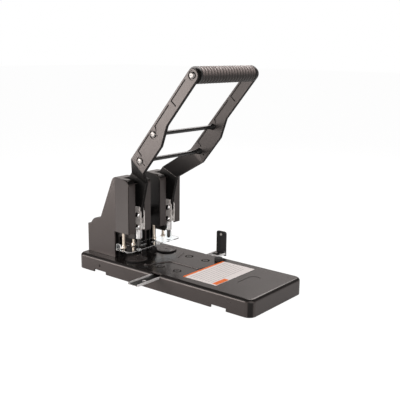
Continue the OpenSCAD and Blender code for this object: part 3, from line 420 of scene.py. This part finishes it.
def channel(name, colour, high):
    """Zinc-plated channel to its highest corner: bright lips, painted shade on its floor inside."""
    finish = Finish(name)
    x, _, z = finish.parts(finish.place())
    up = finish.facing()[2]
    rolled = finish.noise(finish.place((1.0, 9.0, 1.0)), 260.0, 3.0, 0.6)
    # Painted shade: the floor of the channel's near end is near black and less metallic; its walls are
    # darker in streaks.
    floor = (z < high.z - 1.2 * MM) * (up > 0.5) * (x < -60 * MM)
    walls = (z < high.z - 0.4 * MM) * (abs(up) < 0.3)
    walls = walls * finish.level(rolled, 0.2, 0.9) * 0.3
    tone = finish.mix(finish.most(floor, walls), colour, CHANNEL_FLOOR_SHADE)
    return finish.surface(base_color=tone, metallic=0.5 - floor * 0.5,
                          roughness=0.24 + rolled * 0.12,
                          normal=finish.bump(rolled, 0.006 * MM))


def moulded(name, colour, rough, grain=0.6):
    """Moulded plastic or rubber with a fine spark-eroded grain."""
    finish = Finish(name)
    point = finish.place()
    spark = finish.noise(point, 1500.0, 2.0)
    cloud = finish.noise(point, 30.0, 4.0)
    tone = finish.mix(cloud, shade(colour, 0.85), shade(colour, 1.2))
    return finish.surface(base_color=tone, roughness=rough + spark * 0.12,
                          normal=finish.bump(spark, 0.02 * MM * grain))


def clear_sheet(name, tint):
    """Clear sheet with hairline scratches and a little haze."""
    finish = Finish(name)
    hair = finish.noise(finish.place((1.0, 9.0, 1.0)), 160.0, 5.0, 0.7)
    hair = finish.ramp(hair, (0.62, 0.0), (0.7, 1.0))
    return finish.surface(base_color=finish.mix(hair * 0.2, tint, WHITE),
                          roughness=0.03 + hair * 0.12, transmission_weight=1.0, ior=1.49,
                          normal=finish.bump(hair, 0.004 * MM))


def frosted_rim(name, tint):
    """Sawn and flamed edge of a clear sheet, which gathers light."""
    finish = Finish(name)
    saw = finish.noise(finish.place((1.0, 1.0, 0.2)), 900.0, 3.0)
    tone = finish.mix(saw, shade(tint, 0.88), tint)
    return finish.surface(base_color=tone, roughness=0.22 + saw * 0.2, coat_weight=0.5,
                          normal=finish.bump(saw, 0.01 * MM))


def printed_label(name, paper, band, low, high):
    """White label with a plain colour band, a small block and grey rules."""
    finish = Finish(name)
    x, y, _ = finish.parts(finish.place())
    fibre = finish.noise(finish.place(), 700.0, 3.0)
    tone = finish.mix(fibre, shade(paper, 0.94), paper)
    rows = ((y - low.y) / (6.2 * MM)).wrap(1.0)
    inside = x.between(low.x + 6 * MM, high.x - 6 * MM)
    inside = inside * y.between(low.y + 10 * MM, high.y - 9 * MM)
    ragged = finish.noise(finish.place((0.2, 1.0, 1.0)), 90.0, 0.0)
    row_end = high.x - 16 * MM + ragged * (20 * MM)
    rules = inside * rows.between(0.3, 0.46) * (x < row_end)
    column = low.x * 0.4 + high.x * 0.6
    columns = inside * abs(x - column).between(0.0, 0.5 * MM)
    tone = finish.mix(rules * 0.85, tone, RULE_GREY)
    tone = finish.mix(columns * 0.5, tone, COLUMN_GREY)
    block = x.between(low.x + 3 * MM, low.x + 36 * MM)
    block = block * y.between(low.y + 0.5 * MM, low.y + 10.5 * MM)
    stripe = y > high.y - 4.8 * MM
    ink = finish.mix(fibre, shade(band, 0.9), band)
    tone = finish.mix(finish.most(stripe, block), tone, ink)
    return finish.surface(base_color=tone, roughness=0.5 + fibre * 0.1,
                          specular_ior_level=0.25, normal=finish.bump(fibre, 0.008 * MM))


class Finishes:
    """Every finish, made once from the panel's colours."""

    def __init__(self, tints, ribs):
        body, handle = tuple(tints.body), tuple(tints.handle)
        black, steel, chrome = tuple(tints.black), tuple(tints.steel), tuple(tints.chrome)
        # The body, disc and handle paints mix in painted shade from their masks; level body surfaces
        # are painted darker as shade.
        self.body = paint("body_paint", body, 0.27, shade_of=cover_painted_shade, top=0.25)
        self.body_edge = paint("body_paint_edge", body, 0.25, worn=3.0)
        self.handle = paint("handle_paint", handle, 0.38, grain=0.9, shade_of=leg_painted_shade)
        # The rounds on the legs' edges: painted shade at three tenths of the leg colour, with heavier
        # rub marks as wear.
        self.handle_edge_shade = paint("handle_edge_painted_shade", shade(handle, 0.3), 0.3, worn=3.0)
        self.black = paint("black_paint", black, 0.34)
        self.disc = paint("disc_paint", body, 0.24, shade_of=disc_painted_shade)
        self.plastic = moulded("black_plastic", black, 0.36)
        self.rod = moulded("rod_enamel", black, 0.18, 0.05)
        self.rubber = moulded("rubber", shade(black, 1.3), 0.7, 2.0)
        low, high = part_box("grip_sleeve")
        # The grip's pale colour, seventeen times the handle's, is a painted light on its upper side.
        self.grip = ribbed("grip_plastic", shade(handle, 17.0), low.x, (high.x - low.x) / ribs)
        self.rail = channel("guide_channel", chrome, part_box("guide_rail")[1])
        self.plain = satin("dull_zinc", shade(steel, 1.1))
        self.bolt = bare_metal("plated_screw", shade(steel, 0.4), 0.3, stain=0.4)
        self.screw = bare_metal("dark_screw", shade(steel, 0.16), 0.24, stain=0.3)
        self.spring = bare_metal("spring_steel", shade(steel, 0.12), 0.3, stain=0.4)
        self.spring_light = bare_metal("spring_wire", shade(steel, 0.9), 0.25, stain=0.2)
        self.steel = bare_metal("steel", steel, 0.32, (1.0, 1.0, 14.0))
        self.shaft = bare_metal("ground_steel", shade(steel, 0.9), 0.2, (14.0, 1.0, 1.0))
        self.chrome = bare_metal("chrome", chrome, 0.1, (3.0, 3.0, 1.0), 0.1)
        self.zinc = bare_metal("zinc_plate", shade(chrome, 0.9), 0.22, (1.0, 8.0, 1.0), 0.2)
        self.post = bare_metal("warm_steel", tuple(tints.post), 0.26, (6.0, 6.0, 0.4), 0.2)
        self.bronze = bare_metal("bronze", BRONZE, 0.34, (1.0, 4.0, 4.0), 0.3)
        self.clear = clear_sheet("clear_sheet", CLEAR_TINT)
        self.clear_rim = frosted_rim("clear_sheet_rim", RIM_TINT)
        self.label = printed_label("printed_label", tuple(tints.paper), tuple(tints.band),
                                   *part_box("paper_label"))


FINISHES = []


def finishes():
    """The finishes, made on first use."""
    if not FINISHES:
        scene = bpy.context.scene
        FINISHES.append(Finishes(scene.punch_tints, scene.punch_shapes.ribs))
    return FINISHES[0]


# Shapes


def add_piece(name, mesh, body, materials, stands_for):
    """Puts a mesh in the scene in a CAD node's place, riding on a body."""
    piece = bpy.data.objects.new(name, mesh)
    bpy.context.scene.collection.objects.link(piece)
    for material in materials:
        mesh.materials.append(material)
    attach(piece, body)
    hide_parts(stands_for)
    return piece


def smooth(mesh, angle=50.0):
    """Smooth shading that keeps flat faces flat: a corner leans towards the larger faces."""
    around = [[] for _ in mesh.vertices]
    for face in mesh.polygons:
        face.use_smooth = True
        for corner in face.vertices:
            around[corner].append(face.index)
    normals = [face.normal.copy() for face in mesh.polygons]
    areas = [face.area for face in mesh.polygons]
    limit = math.cos(math.radians(angle))
    corners = []
    for face in mesh.polygons:
        own = normals[face.index]
        for corner in face.vertices:
            total = Vector((0, 0, 0))
            for other in around[corner]:
                if own.dot(normals[other]) > limit:
                    total += normals[other] * areas[other]
            corners.append(total.normalized() if total.length > 0 else own)
    mesh.normals_split_custom_set(corners)


def finished_mesh(name, form):
    """A smooth mesh from a form that was built face by face."""
    bmesh.ops.recalc_face_normals(form, faces=form.faces)
    mesh = bpy.data.meshes.new(name)
    form.to_mesh(mesh)
    form.free()
    smooth(mesh)
    return mesh


def sharp_edges(form, width_at):
    """The sharp edges of a form, by the width to break them by, which width_at picks."""
    widths = {}
    for edge in form.edges:
        if len(edge.link_faces) == 2 and edge.calc_face_angle(0.0) > SHARP_EDGE:
            width = width_at((edge.verts[0].co + edge.verts[1].co) / 2)
            widths.setdefault(width, []).append(edge)
    return widths


def broken_edges(node, width, material, edge_material=None):
    """A copy of a node whose sharp edges are broken by a small round.

    width is one width, or a function that picks it from the middle of an edge, in metres.
    """
    mesh = frame["nodes"][node].data.copy()
    mesh.name = node + "_skin"
    mesh.materials.clear()
    form = bmesh.new()
    form.from_mesh(mesh)
    bmesh.ops.remove_doubles(form, verts=form.verts, dist=WELD)
    bmesh.ops.dissolve_limit(form, angle_limit=ONE_FACE, verts=form.verts, edges=form.edges)
    widths = sharp_edges(form, width if callable(width) else lambda middle: width)
    rounded = []
    for size in sorted(widths, reverse=True):
        edges = [edge for edge in widths[size] if edge.is_valid]
        if size > 0 and edges:
            made = bmesh.ops.bevel(form, geom=edges, offset=size, offset_type="OFFSET",
                                   segments=2, profile=0.5, affect="EDGES",
                                   clamp_overlap=False)
            rounded += made["faces"]
    if edge_material is not None:
        for face in rounded:
            if face.is_valid:
                face.material_index = 1
    form.to_mesh(mesh)
    form.free()
    smooth(mesh)
    materials = [material] if edge_material is None else [material, edge_material]
    body = frame["nodes"][node]["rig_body"]
    add_piece(node + "_skin", mesh, body, materials, node)


def dress(nodes, material):
    """Gives CAD nodes whose shape is right their finish."""
    for node in nodes:
        mesh = frame["nodes"][node].data
        mesh.materials.clear()
        mesh.materials.append(material)


def circle(form, middle, out, up, radius, sides):
    """Adds the points of a circle to a form."""
    ring = []
    for i in range(sides):
        angle = 2 * math.pi * i / sides
        ring.append(form.verts.new(
            middle + (out * math.cos(angle) + up * math.sin(angle)) * radius))
    return ring


def join_rings(form, rings):
    """Joins circles of points with faces, and closes both ends."""
    for ring, after in zip(rings, rings[1:]):
        for i in range(len(ring)):
            j = (i + 1) % len(ring)
            form.faces.new((ring[i], ring[j], after[j], after[i]))
    form.faces.new(list(reversed(rings[0])))
    form.faces.new(rings[-1])


def turned(name, profile, centre, axis, sides):
    """The mesh of a turned piece, from places and radii along an axis through centre."""
    form = bmesh.new()
    along = Vector(axis).normalized()
    out = along.orthogonal().normalized()
    up = along.cross(out)
    join_rings(form, [circle(form, Vector(centre) + along * distance, out, up, radius, sides)
                      for distance, radius in profile])
    return finished_mesh(name, form)


def wound_wire(form, path, radius, sides=12):
    """Adds a closed round wire along a path of points to a form."""
    rings = []
    out = None
    for i, point in enumerate(path):
        ahead = (path[min(i + 1, len(path) - 1)] - path[max(i - 1, 0)]).normalized()
        if out is None:
            out = ahead.orthogonal().normalized()
        else:
            out = (out - ahead * out.dot(ahead)).normalized()
        rings.append(circle(form, point, out, ahead.cross(out), radius, sides))
    join_rings(form, rings)


def coil_points(start, along, out, length, radius, turns, wire, steps=28):
    """Points of a coil that runs straight for a wire's width at each end."""
    start, along, out = Vector(start), Vector(along), Vector(out)
    up = along.cross(out)
    end = 3 * wire
    count = int(turns * steps)
    points = [start + out * radius, start + out * radius + along * wire]
    for i in range(count + 1):
        angle = 2 * math.pi * i / steps
        points.append(start + (out * math.cos(angle) + up * math.sin(angle)) * radius
                      + along * (end + (length - 2 * end) * i / count))
    points.append(start + out * radius + along * (length - wire))
    points.append(start + out * radius + along * length)
    return points


# Sizes and colours a user would change


class PunchTints(bpy.types.PropertyGroup):
    """Colours of the punch."""

    def tint(name, default):
        return bpy.props.FloatVectorProperty(
            name=name, description=name + " of the punch", size=3, subtype="COLOR",
            min=0.0, max=1.0, default=default)

    body: tint("Body paint", (0.034, 0.029, 0.0278))
    handle: tint("Handle paint", (0.021, 0.018, 0.0172))
    black: tint("Black parts", (0.008, 0.008, 0.008))
    steel: tint("Steel", (0.62, 0.6, 0.58))
    chrome: tint("Chrome", (0.8, 0.8, 0.8))
    post: tint("Guard posts", (0.72, 0.64, 0.54))
    paper: tint("Label paper", (0.82, 0.79, 0.78))
    band: tint("Label band", (0.85, 0.16, 0.01))


class PunchShapes(bpy.types.PropertyGroup):
    """Sizes of the fine shapes."""

    ribs: bpy.props.IntProperty(
        name="Grip ribs", description="Ribs along the grip", default=19, min=8, max=30)
    rib_depth: bpy.props.FloatProperty(
        name="Rib depth", description="Depth of the grooves between ribs",
        default=1.0 * MM, unit="LENGTH", min=0.0, max=0.004)
    body_round: bpy.props.FloatProperty(
        name="Cover edge", description="Round on the covers' cut edges",
        default=0.5 * MM, unit="LENGTH", min=0.0, max=0.002)
    handle_round: bpy.props.FloatProperty(
        name="Handle edge", description="Round on the outer edges of the legs",
        default=1.1 * MM, unit="LENGTH", min=0.0, max=0.002)


class PunchStudio(bpy.types.PropertyGroup):
    """Camera and light."""

    def lamp(name, description, default):
        return bpy.props.FloatProperty(
            name=name, description=description, default=default, min=0.0, max=500.0,
            unit="POWER")

    lens: bpy.props.FloatProperty(
        name="Lens", description="Focal length on a 36 mm sensor", default=61.0,
        min=20.0, max=200.0)
    key: lamp("Key light", "Power of the soft light on the left", 10.0)
    right: lamp("Right light", "Power of the soft light on the right", 9.0)
    front: lamp("Front light", "Power of the soft light in front", 26.0)
    room: bpy.props.FloatProperty(
        name="Room light", description="Strength of the light from all around", default=0.08,
        min=0.0, max=2.0)


class PunchOperator:
    """What the operators share."""

    bl_options = {"REGISTER", "UNDO"}

    def execute(self, context):
        self.make(context.scene)
        return {"FINISHED"}


# Pieces


class PUNCH_OT_base(PunchOperator, bpy.types.Operator):
    """Base cover, bottom plate, feet and the steel under the deck"""

    bl_idname = "punch.base"
    bl_label = "Base"

    def make(self, scene):
        look = finishes()
        broad, thin, beside = scene.punch_shapes.body_round, 0.06 * MM, 3 * MM
        low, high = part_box("badge_plate")

        def width_at(middle):
            """Thin beside the badge, broad elsewhere."""
            at_badge = (low.x - beside < middle.x < high.x + beside
                        and low.y - beside < middle.y < high.y + beside)
            return thin if at_badge else broad

        broken_edges("base_cover", width_at, look.body, look.body_edge)
        broken_edges("badge_plate", 0.08 * MM, look.body)
        dress(["bottom_plate", "side_screws"], look.black)
        dress(["rubber_feet"], look.rubber)
        dress(["chassis_plate", "rail_carrier", "lock_clamp", "bottom_screws", "disc_pins"],
              look.steel)


class PUNCH_OT_deck(PunchOperator, bpy.types.Operator):
    """Cutting discs, deck screws, label and paper stops"""

    bl_idname = "punch.deck"
    bl_label = "Deck"

    def make(self, scene):
        look = finishes()
        for side in ("left", "right"):
            broken_edges("cutting_disc_" + side, 0.35 * MM, look.disc)
        dress(["deck_screws", "stop_screws"], look.screw)
        dress(["paper_label"], look.label)
        dress(["paper_stops"], look.black)


class PUNCH_OT_towers(PunchOperator, bpy.types.Operator):
    """Tower covers with the frames, guides and bolts inside them"""

    bl_idname = "punch.towers"
    bl_label = "Towers"

    def make(self, scene):
        look = finishes()
        for side in ("left", "right"):
            broken_edges("tower_cover_" + side, scene.punch_shapes.body_round, look.body,
                         look.body_edge)
            dress(["tower_frame_" + side, "punch_guide_" + side], look.black)
        dress(["frame_bolts", "frame_nuts"], look.steel)
        dress(["cover_screws"], look.chrome)


class PUNCH_OT_shaft(PunchOperator, bpy.types.Operator):
    """Pivot shaft with its bushes, collar, clips and torsion springs"""

    bl_idname = "punch.shaft"
    bl_label = "Pivot shaft"

    def make(self, scene):
        look = finishes()
        dress(["pivot_shaft", "hub_spacers"], look.shaft)
        dress(["shaft_bushes"], look.bronze)
        dress(["shaft_collar", "shaft_clips", "collar_screw"], look.black)
        low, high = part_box("return_springs")
        centre = middle_of("return_springs")
        wire = 1.25 * MM
        radius = (high.z - low.z) / 2 - wire
        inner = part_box("shaft_collar")[1].x + 0.3 * MM
        form = bmesh.new()
        for way in (-1, 1):
            points = coil_points((way * inner, centre.y, centre.z), (way, 0, 0), (0, 0, -1),
                                 high.x - inner, radius, 6, wire)
            wound_wire(form, points, wire)
        add_piece("return_spring_wire", finished_mesh("return_spring_wire", form), "handle",
                  [look.spring], "return_springs")


class PUNCH_OT_handle(PunchOperator, bpy.types.Operator):
    """The two levers, the rods between them and their screws"""

    bl_idname = "punch.handle"
    bl_label = "Handle"

    def make(self, scene):
        look = finishes()
        broad, thin, hair = scene.punch_shapes.handle_round, 0.25 * MM, 0.04 * MM
        grip = middle_of("grip_core")
        neck_starts = 70 * MM
        end_radius = 9.0
        flare_starts, flare_length, flare_depth = 94, 35, 12.7

        def width_at(middle):
            """Hair-thin where a leg meets its neck, thin on pressed lines, else broad."""
            along, over = down_leg((middle.y - grip.y) / MM, (middle.z - grip.z) / MM)
            if abs(middle.x) > neck_starts and along > LEG_END:
                return hair
            if abs(middle.x) < neck_starts:
                return broad * 0.3
            front = -11.5
            if along >= flare_starts:
                front -= min(1.0, (along - flare_starts) / flare_length) * flare_depth
            pressed = front + 1.2 < over < end_radius and along > 0
            return thin if math.hypot(along, over) < end_radius or pressed else broad

        for side in ("left", "right"):
            broken_edges("lever_" + side, width_at, look.handle, look.handle_edge_shade)
        dress(["upper_rod", "lower_rod"], look.rod)
        dress(["handle_screws"], look.bolt)


class PUNCH_OT_grip(PunchOperator, bpy.types.Operator):
    """Ribbed grip with its core and end collars"""

    bl_idname = "punch.grip"
    bl_label = "Grip"

    def make(self, scene):
        look = finishes()
        shapes = scene.punch_shapes
        low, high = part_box("grip_sleeve")
        centre = middle_of("grip_sleeve")
        radius = (high.z - low.z) / 2
        pitch = (high.x - low.x) / shapes.ribs
        steps = 10
        profile = []
        for i in range(shapes.ribs):
            for k in range(steps):
                share = k / steps
                swell = 0.5 - 0.5 * math.cos(2 * math.pi * share)
                profile.append(((i + share) * pitch, radius - shapes.rib_depth * (1 - swell)))
        profile.append((high.x - low.x, radius - shapes.rib_depth))
        mesh = turned("grip_ribs", profile, (low.x, centre.y, centre.z), (1, 0, 0), 72)
        add_piece("grip_ribs", mesh, "handle", [look.grip], "grip_sleeve")
        dress(["grip_core"], look.shaft)
        dress(["grip_collars"], look.plastic)


class PUNCH_OT_punches(PunchOperator, bpy.types.Operator):
    """Links, pins, holders and hollow punches"""

    bl_idname = "punch.punches"
    bl_label = "Punches"

    def make(self, scene):
        look = finishes()
        for side in ("left", "right"):
            broken_edges("links_" + side, 0.35 * MM, look.plain)
            dress(["upper_pin_" + side, "lower_pin_" + side], look.chrome)
            dress(["punch_holder_" + side], look.zinc)
            dress(["punch_" + side], look.screw)


class PUNCH_OT_guard(PunchOperator, bpy.types.Operator):
    """Clear guard with its posts and lifting springs"""

    bl_idname = "punch.guard"
    bl_label = "Guard"

    def make(self, scene):
        look = finishes()
        broken_edges("clear_guard", 0.25 * MM, look.clear, look.clear_rim)
        dress(["guard_posts"], look.post)
        dress(["post_heads"], look.black)
        low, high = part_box("guard_springs")
        length = high.z - low.z
        punch_x, post_off, post_y = 40, 12.5, 25.5 * MM
        wire, radius = 0.4 * MM, 3.2 * MM
        form = bmesh.new()
        for way in (-1, 1):
            for side in (-1, 1):
                foot = (way * (punch_x + side * post_off) * MM, post_y, low.z)
                points = coil_points(foot, (0, 0, 1), (1, 0, 0), length, radius, 12, wire, 20)
                wound_wire(form, points, wire, 8)
        piece = add_piece("guard_spring_wire", finished_mesh("guard_spring_wire", form), "base",
                          [look.spring_light], "guard_springs")
        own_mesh(piece)


class PUNCH_OT_paper_guide(PunchOperator, bpy.types.Operator):
    """Sliding rail with its stop, rivets and lock knob"""

    bl_idname = "punch.paper_guide"
    bl_label = "Paper guide"

    def make(self, scene):
        look = finishes()
        broken_edges("guide_rail", 0.2 * MM, look.rail)
        broken_edges("guide_stop", 0.4 * MM, look.plastic)
        broken_edges("guide_lock_knob", 0.4 * MM, look.rubber)
        dress(["stop_rivets"], look.steel)


# Studio


def area_light(name, power, size, place, target, tint=(1.0, 0.95, 0.93)):
    """A soft rectangular light that looks at a target."""
    light = bpy.data.lights.new(name, "AREA")
    light.shape = "RECTANGLE"
    light.size, light.size_y = size
    light.energy = power
    light.color = tint
    lamp = bpy.data.objects.new(name, light)
    lamp.location = place
    aim = Vector(target) - Vector(place)
    lamp.rotation_euler = aim.to_track_quat("-Z", "Y").to_euler()
    bpy.context.scene.collection.objects.link(lamp)


def add_camera(scene):
    """The camera at the photograph's viewing angle."""
    yaw, pitch = math.radians(CAMERA_YAW), math.radians(CAMERA_PITCH)
    roll = math.radians(CAMERA_ROLL)
    look = Vector((-math.sin(yaw) * math.cos(pitch), math.cos(yaw) * math.cos(pitch),
                   -math.sin(pitch)))
    right = look.cross(Vector((0, 0, 1))).normalized()
    up = right.cross(look)
    level = math.cos(roll) * right + math.sin(roll) * up
    rise = -math.sin(roll) * right + math.cos(roll) * up
    turn = Matrix((level, rise, -look)).transposed().to_4x4()
    lens = bpy.data.cameras.new("camera")
    lens.sensor_width = 36.0
    lens.lens = scene.punch_studio.lens
    lens.clip_start, lens.clip_end = CAMERA_CLIP
    camera = bpy.data.objects.new("camera", lens)
    camera.matrix_world = Matrix.Translation(mm(*CAMERA_PLACE)) @ turn
    scene.collection.objects.link(camera)
    scene.camera = camera


class PUNCH_OT_stage(PunchOperator, bpy.types.Operator):
    """Floor, room, lights and camera"""

    bl_idname = "punch.stage"
    bl_label = "Studio"

    def make(self, scene):
        studio = scene.punch_studio
        add_camera(scene)
        self.add_room(scene)
        self.add_floor(scene)
        area_light("key_light", studio.key, (0.6, 0.5), (-0.72, 0.42, 0.32),
                   (-0.07, -0.05, 0.2), (1.0, 0.94, 0.91))
        area_light("right_light", studio.right, (0.8, 0.8), (0.95, 0.1, 1.05), (0, -0.1, 0.1))
        area_light("front_light", studio.front, (1.7, 1.1), (-0.75, -1.55, 0.62),
                   (0, -0.05, 0.1))
        scene.view_settings.view_transform = "Standard"

    def add_room(self, scene):
        """White to the eye and through clear pieces, with a low, bright backdrop in mirrors."""
        dim, bright = 0.1, 0.72
        world = bpy.data.worlds.new("room")
        scene.world = world
        world.use_nodes = True
        room = Shader(world.node_tree)
        x, y, rise = room.parts(room.node("ShaderNodeTexCoord", out="Generated"))
        eye, through, gloss = room.rays()
        white = room.most(eye, through)
        backdrop = room.level(x * 0.76 + y * 0.61, 0.0, 0.65)
        mirrored = dim + backdrop * (1.0 - room.level(rise, 0.25, 0.6)) * bright
        plain = gloss * mirrored + (1.0 - gloss) * scene.punch_studio.room
        sky = room.node("ShaderNodeBackground", None,
                        {"Color": room.mix(white, (1.0, 0.93, 0.9), WHITE),
                         "Strength": white + (1.0 - white) * plain})
        out = room.tree.nodes.new("ShaderNodeOutputWorld")
        room.tree.links.new(sky.socket, out.inputs["Surface"])

    def add_floor(self, scene):
        """White floor that keeps a faint shadow, and doesn't glow right under the base."""
        reach, sunk, inset = 12.0, 0.2 * MM, 40 * MM
        seen, mirrored = 0.84, 0.36
        form = bmesh.new()
        bmesh.ops.create_grid(form, x_segments=1, y_segments=1, size=reach)
        mesh = bpy.data.meshes.new("floor")
        form.to_mesh(mesh)
        form.free()
        floor = bpy.data.objects.new("floor", mesh)
        scene.collection.objects.link(floor)
        floor.location.z = -sunk
        finish = Finish("floor")
        x, y, _ = finish.parts(finish.place())
        low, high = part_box("base_cover")
        under = x.between(low.x + inset, high.x - inset)
        under = under * y.between(low.y + inset, high.y - inset)
        speck = finish.noise(finish.place(), 40.0, 3.0)
        grey = finish.mix(speck, (0.62, 0.62, 0.62), (0.66, 0.66, 0.66))
        matte = finish.node("ShaderNodeBsdfDiffuse", None, {"Color": grey})
        glow = finish.node("ShaderNodeEmission", None, {"Color": WHITE, "Strength": 1.16})
        eye, through, gloss = finish.rays()
        share = (1.0 - under) * (finish.most(eye, through) * seen + gloss * mirrored)
        mesh.materials.append(finish.close(
            finish.node("ShaderNodeMixShader", None, {0: share, 1: matte, 2: glow})))


OPERATORS = (PUNCH_OT_stage, PUNCH_OT_base, PUNCH_OT_deck, PUNCH_OT_towers, PUNCH_OT_shaft,
             PUNCH_OT_handle, PUNCH_OT_grip, PUNCH_OT_punches, PUNCH_OT_guard,
             PUNCH_OT_paper_guide)


class PUNCH_PT_panel(bpy.types.Panel):
    """Lists the pieces, sizes and colours"""

    bl_idname = "PUNCH_PT_panel"
    bl_label = "Lever punch"
    bl_space_type = "VIEW_3D"
    bl_region_type = "UI"
    bl_category = "Punch"

    def draw(self, context):
        column = self.layout.column()
        for group in GROUPS:
            settings = getattr(context.scene, group)
            for name in settings.bl_rna.properties.keys():
                if name not in ("rna_type", "name"):
                    column.prop(settings, name)
        for operator in OPERATORS:
            column.operator(operator.bl_idname)


CLASSES = (PunchTints, PunchShapes, PunchStudio, *OPERATORS, PUNCH_PT_panel)
GROUPS = {"punch_tints": PunchTints, "punch_shapes": PunchShapes, "punch_studio": PunchStudio}


def register():
    for cls in CLASSES:
        bpy.utils.register_class(cls)
    for name, cls in GROUPS.items():
        setattr(bpy.types.Scene, name, bpy.props.PointerProperty(type=cls))


def unregister():
    for name in GROUPS:
        delattr(bpy.types.Scene, name)
    for cls in reversed(CLASSES):
        bpy.utils.unregister_class(cls)


def main():
    register()
    for operator in OPERATORS:
        group, name = operator.bl_idname.split(".")
        getattr(getattr(bpy.ops, group), name)()


if __name__ == "__main__":
    main()
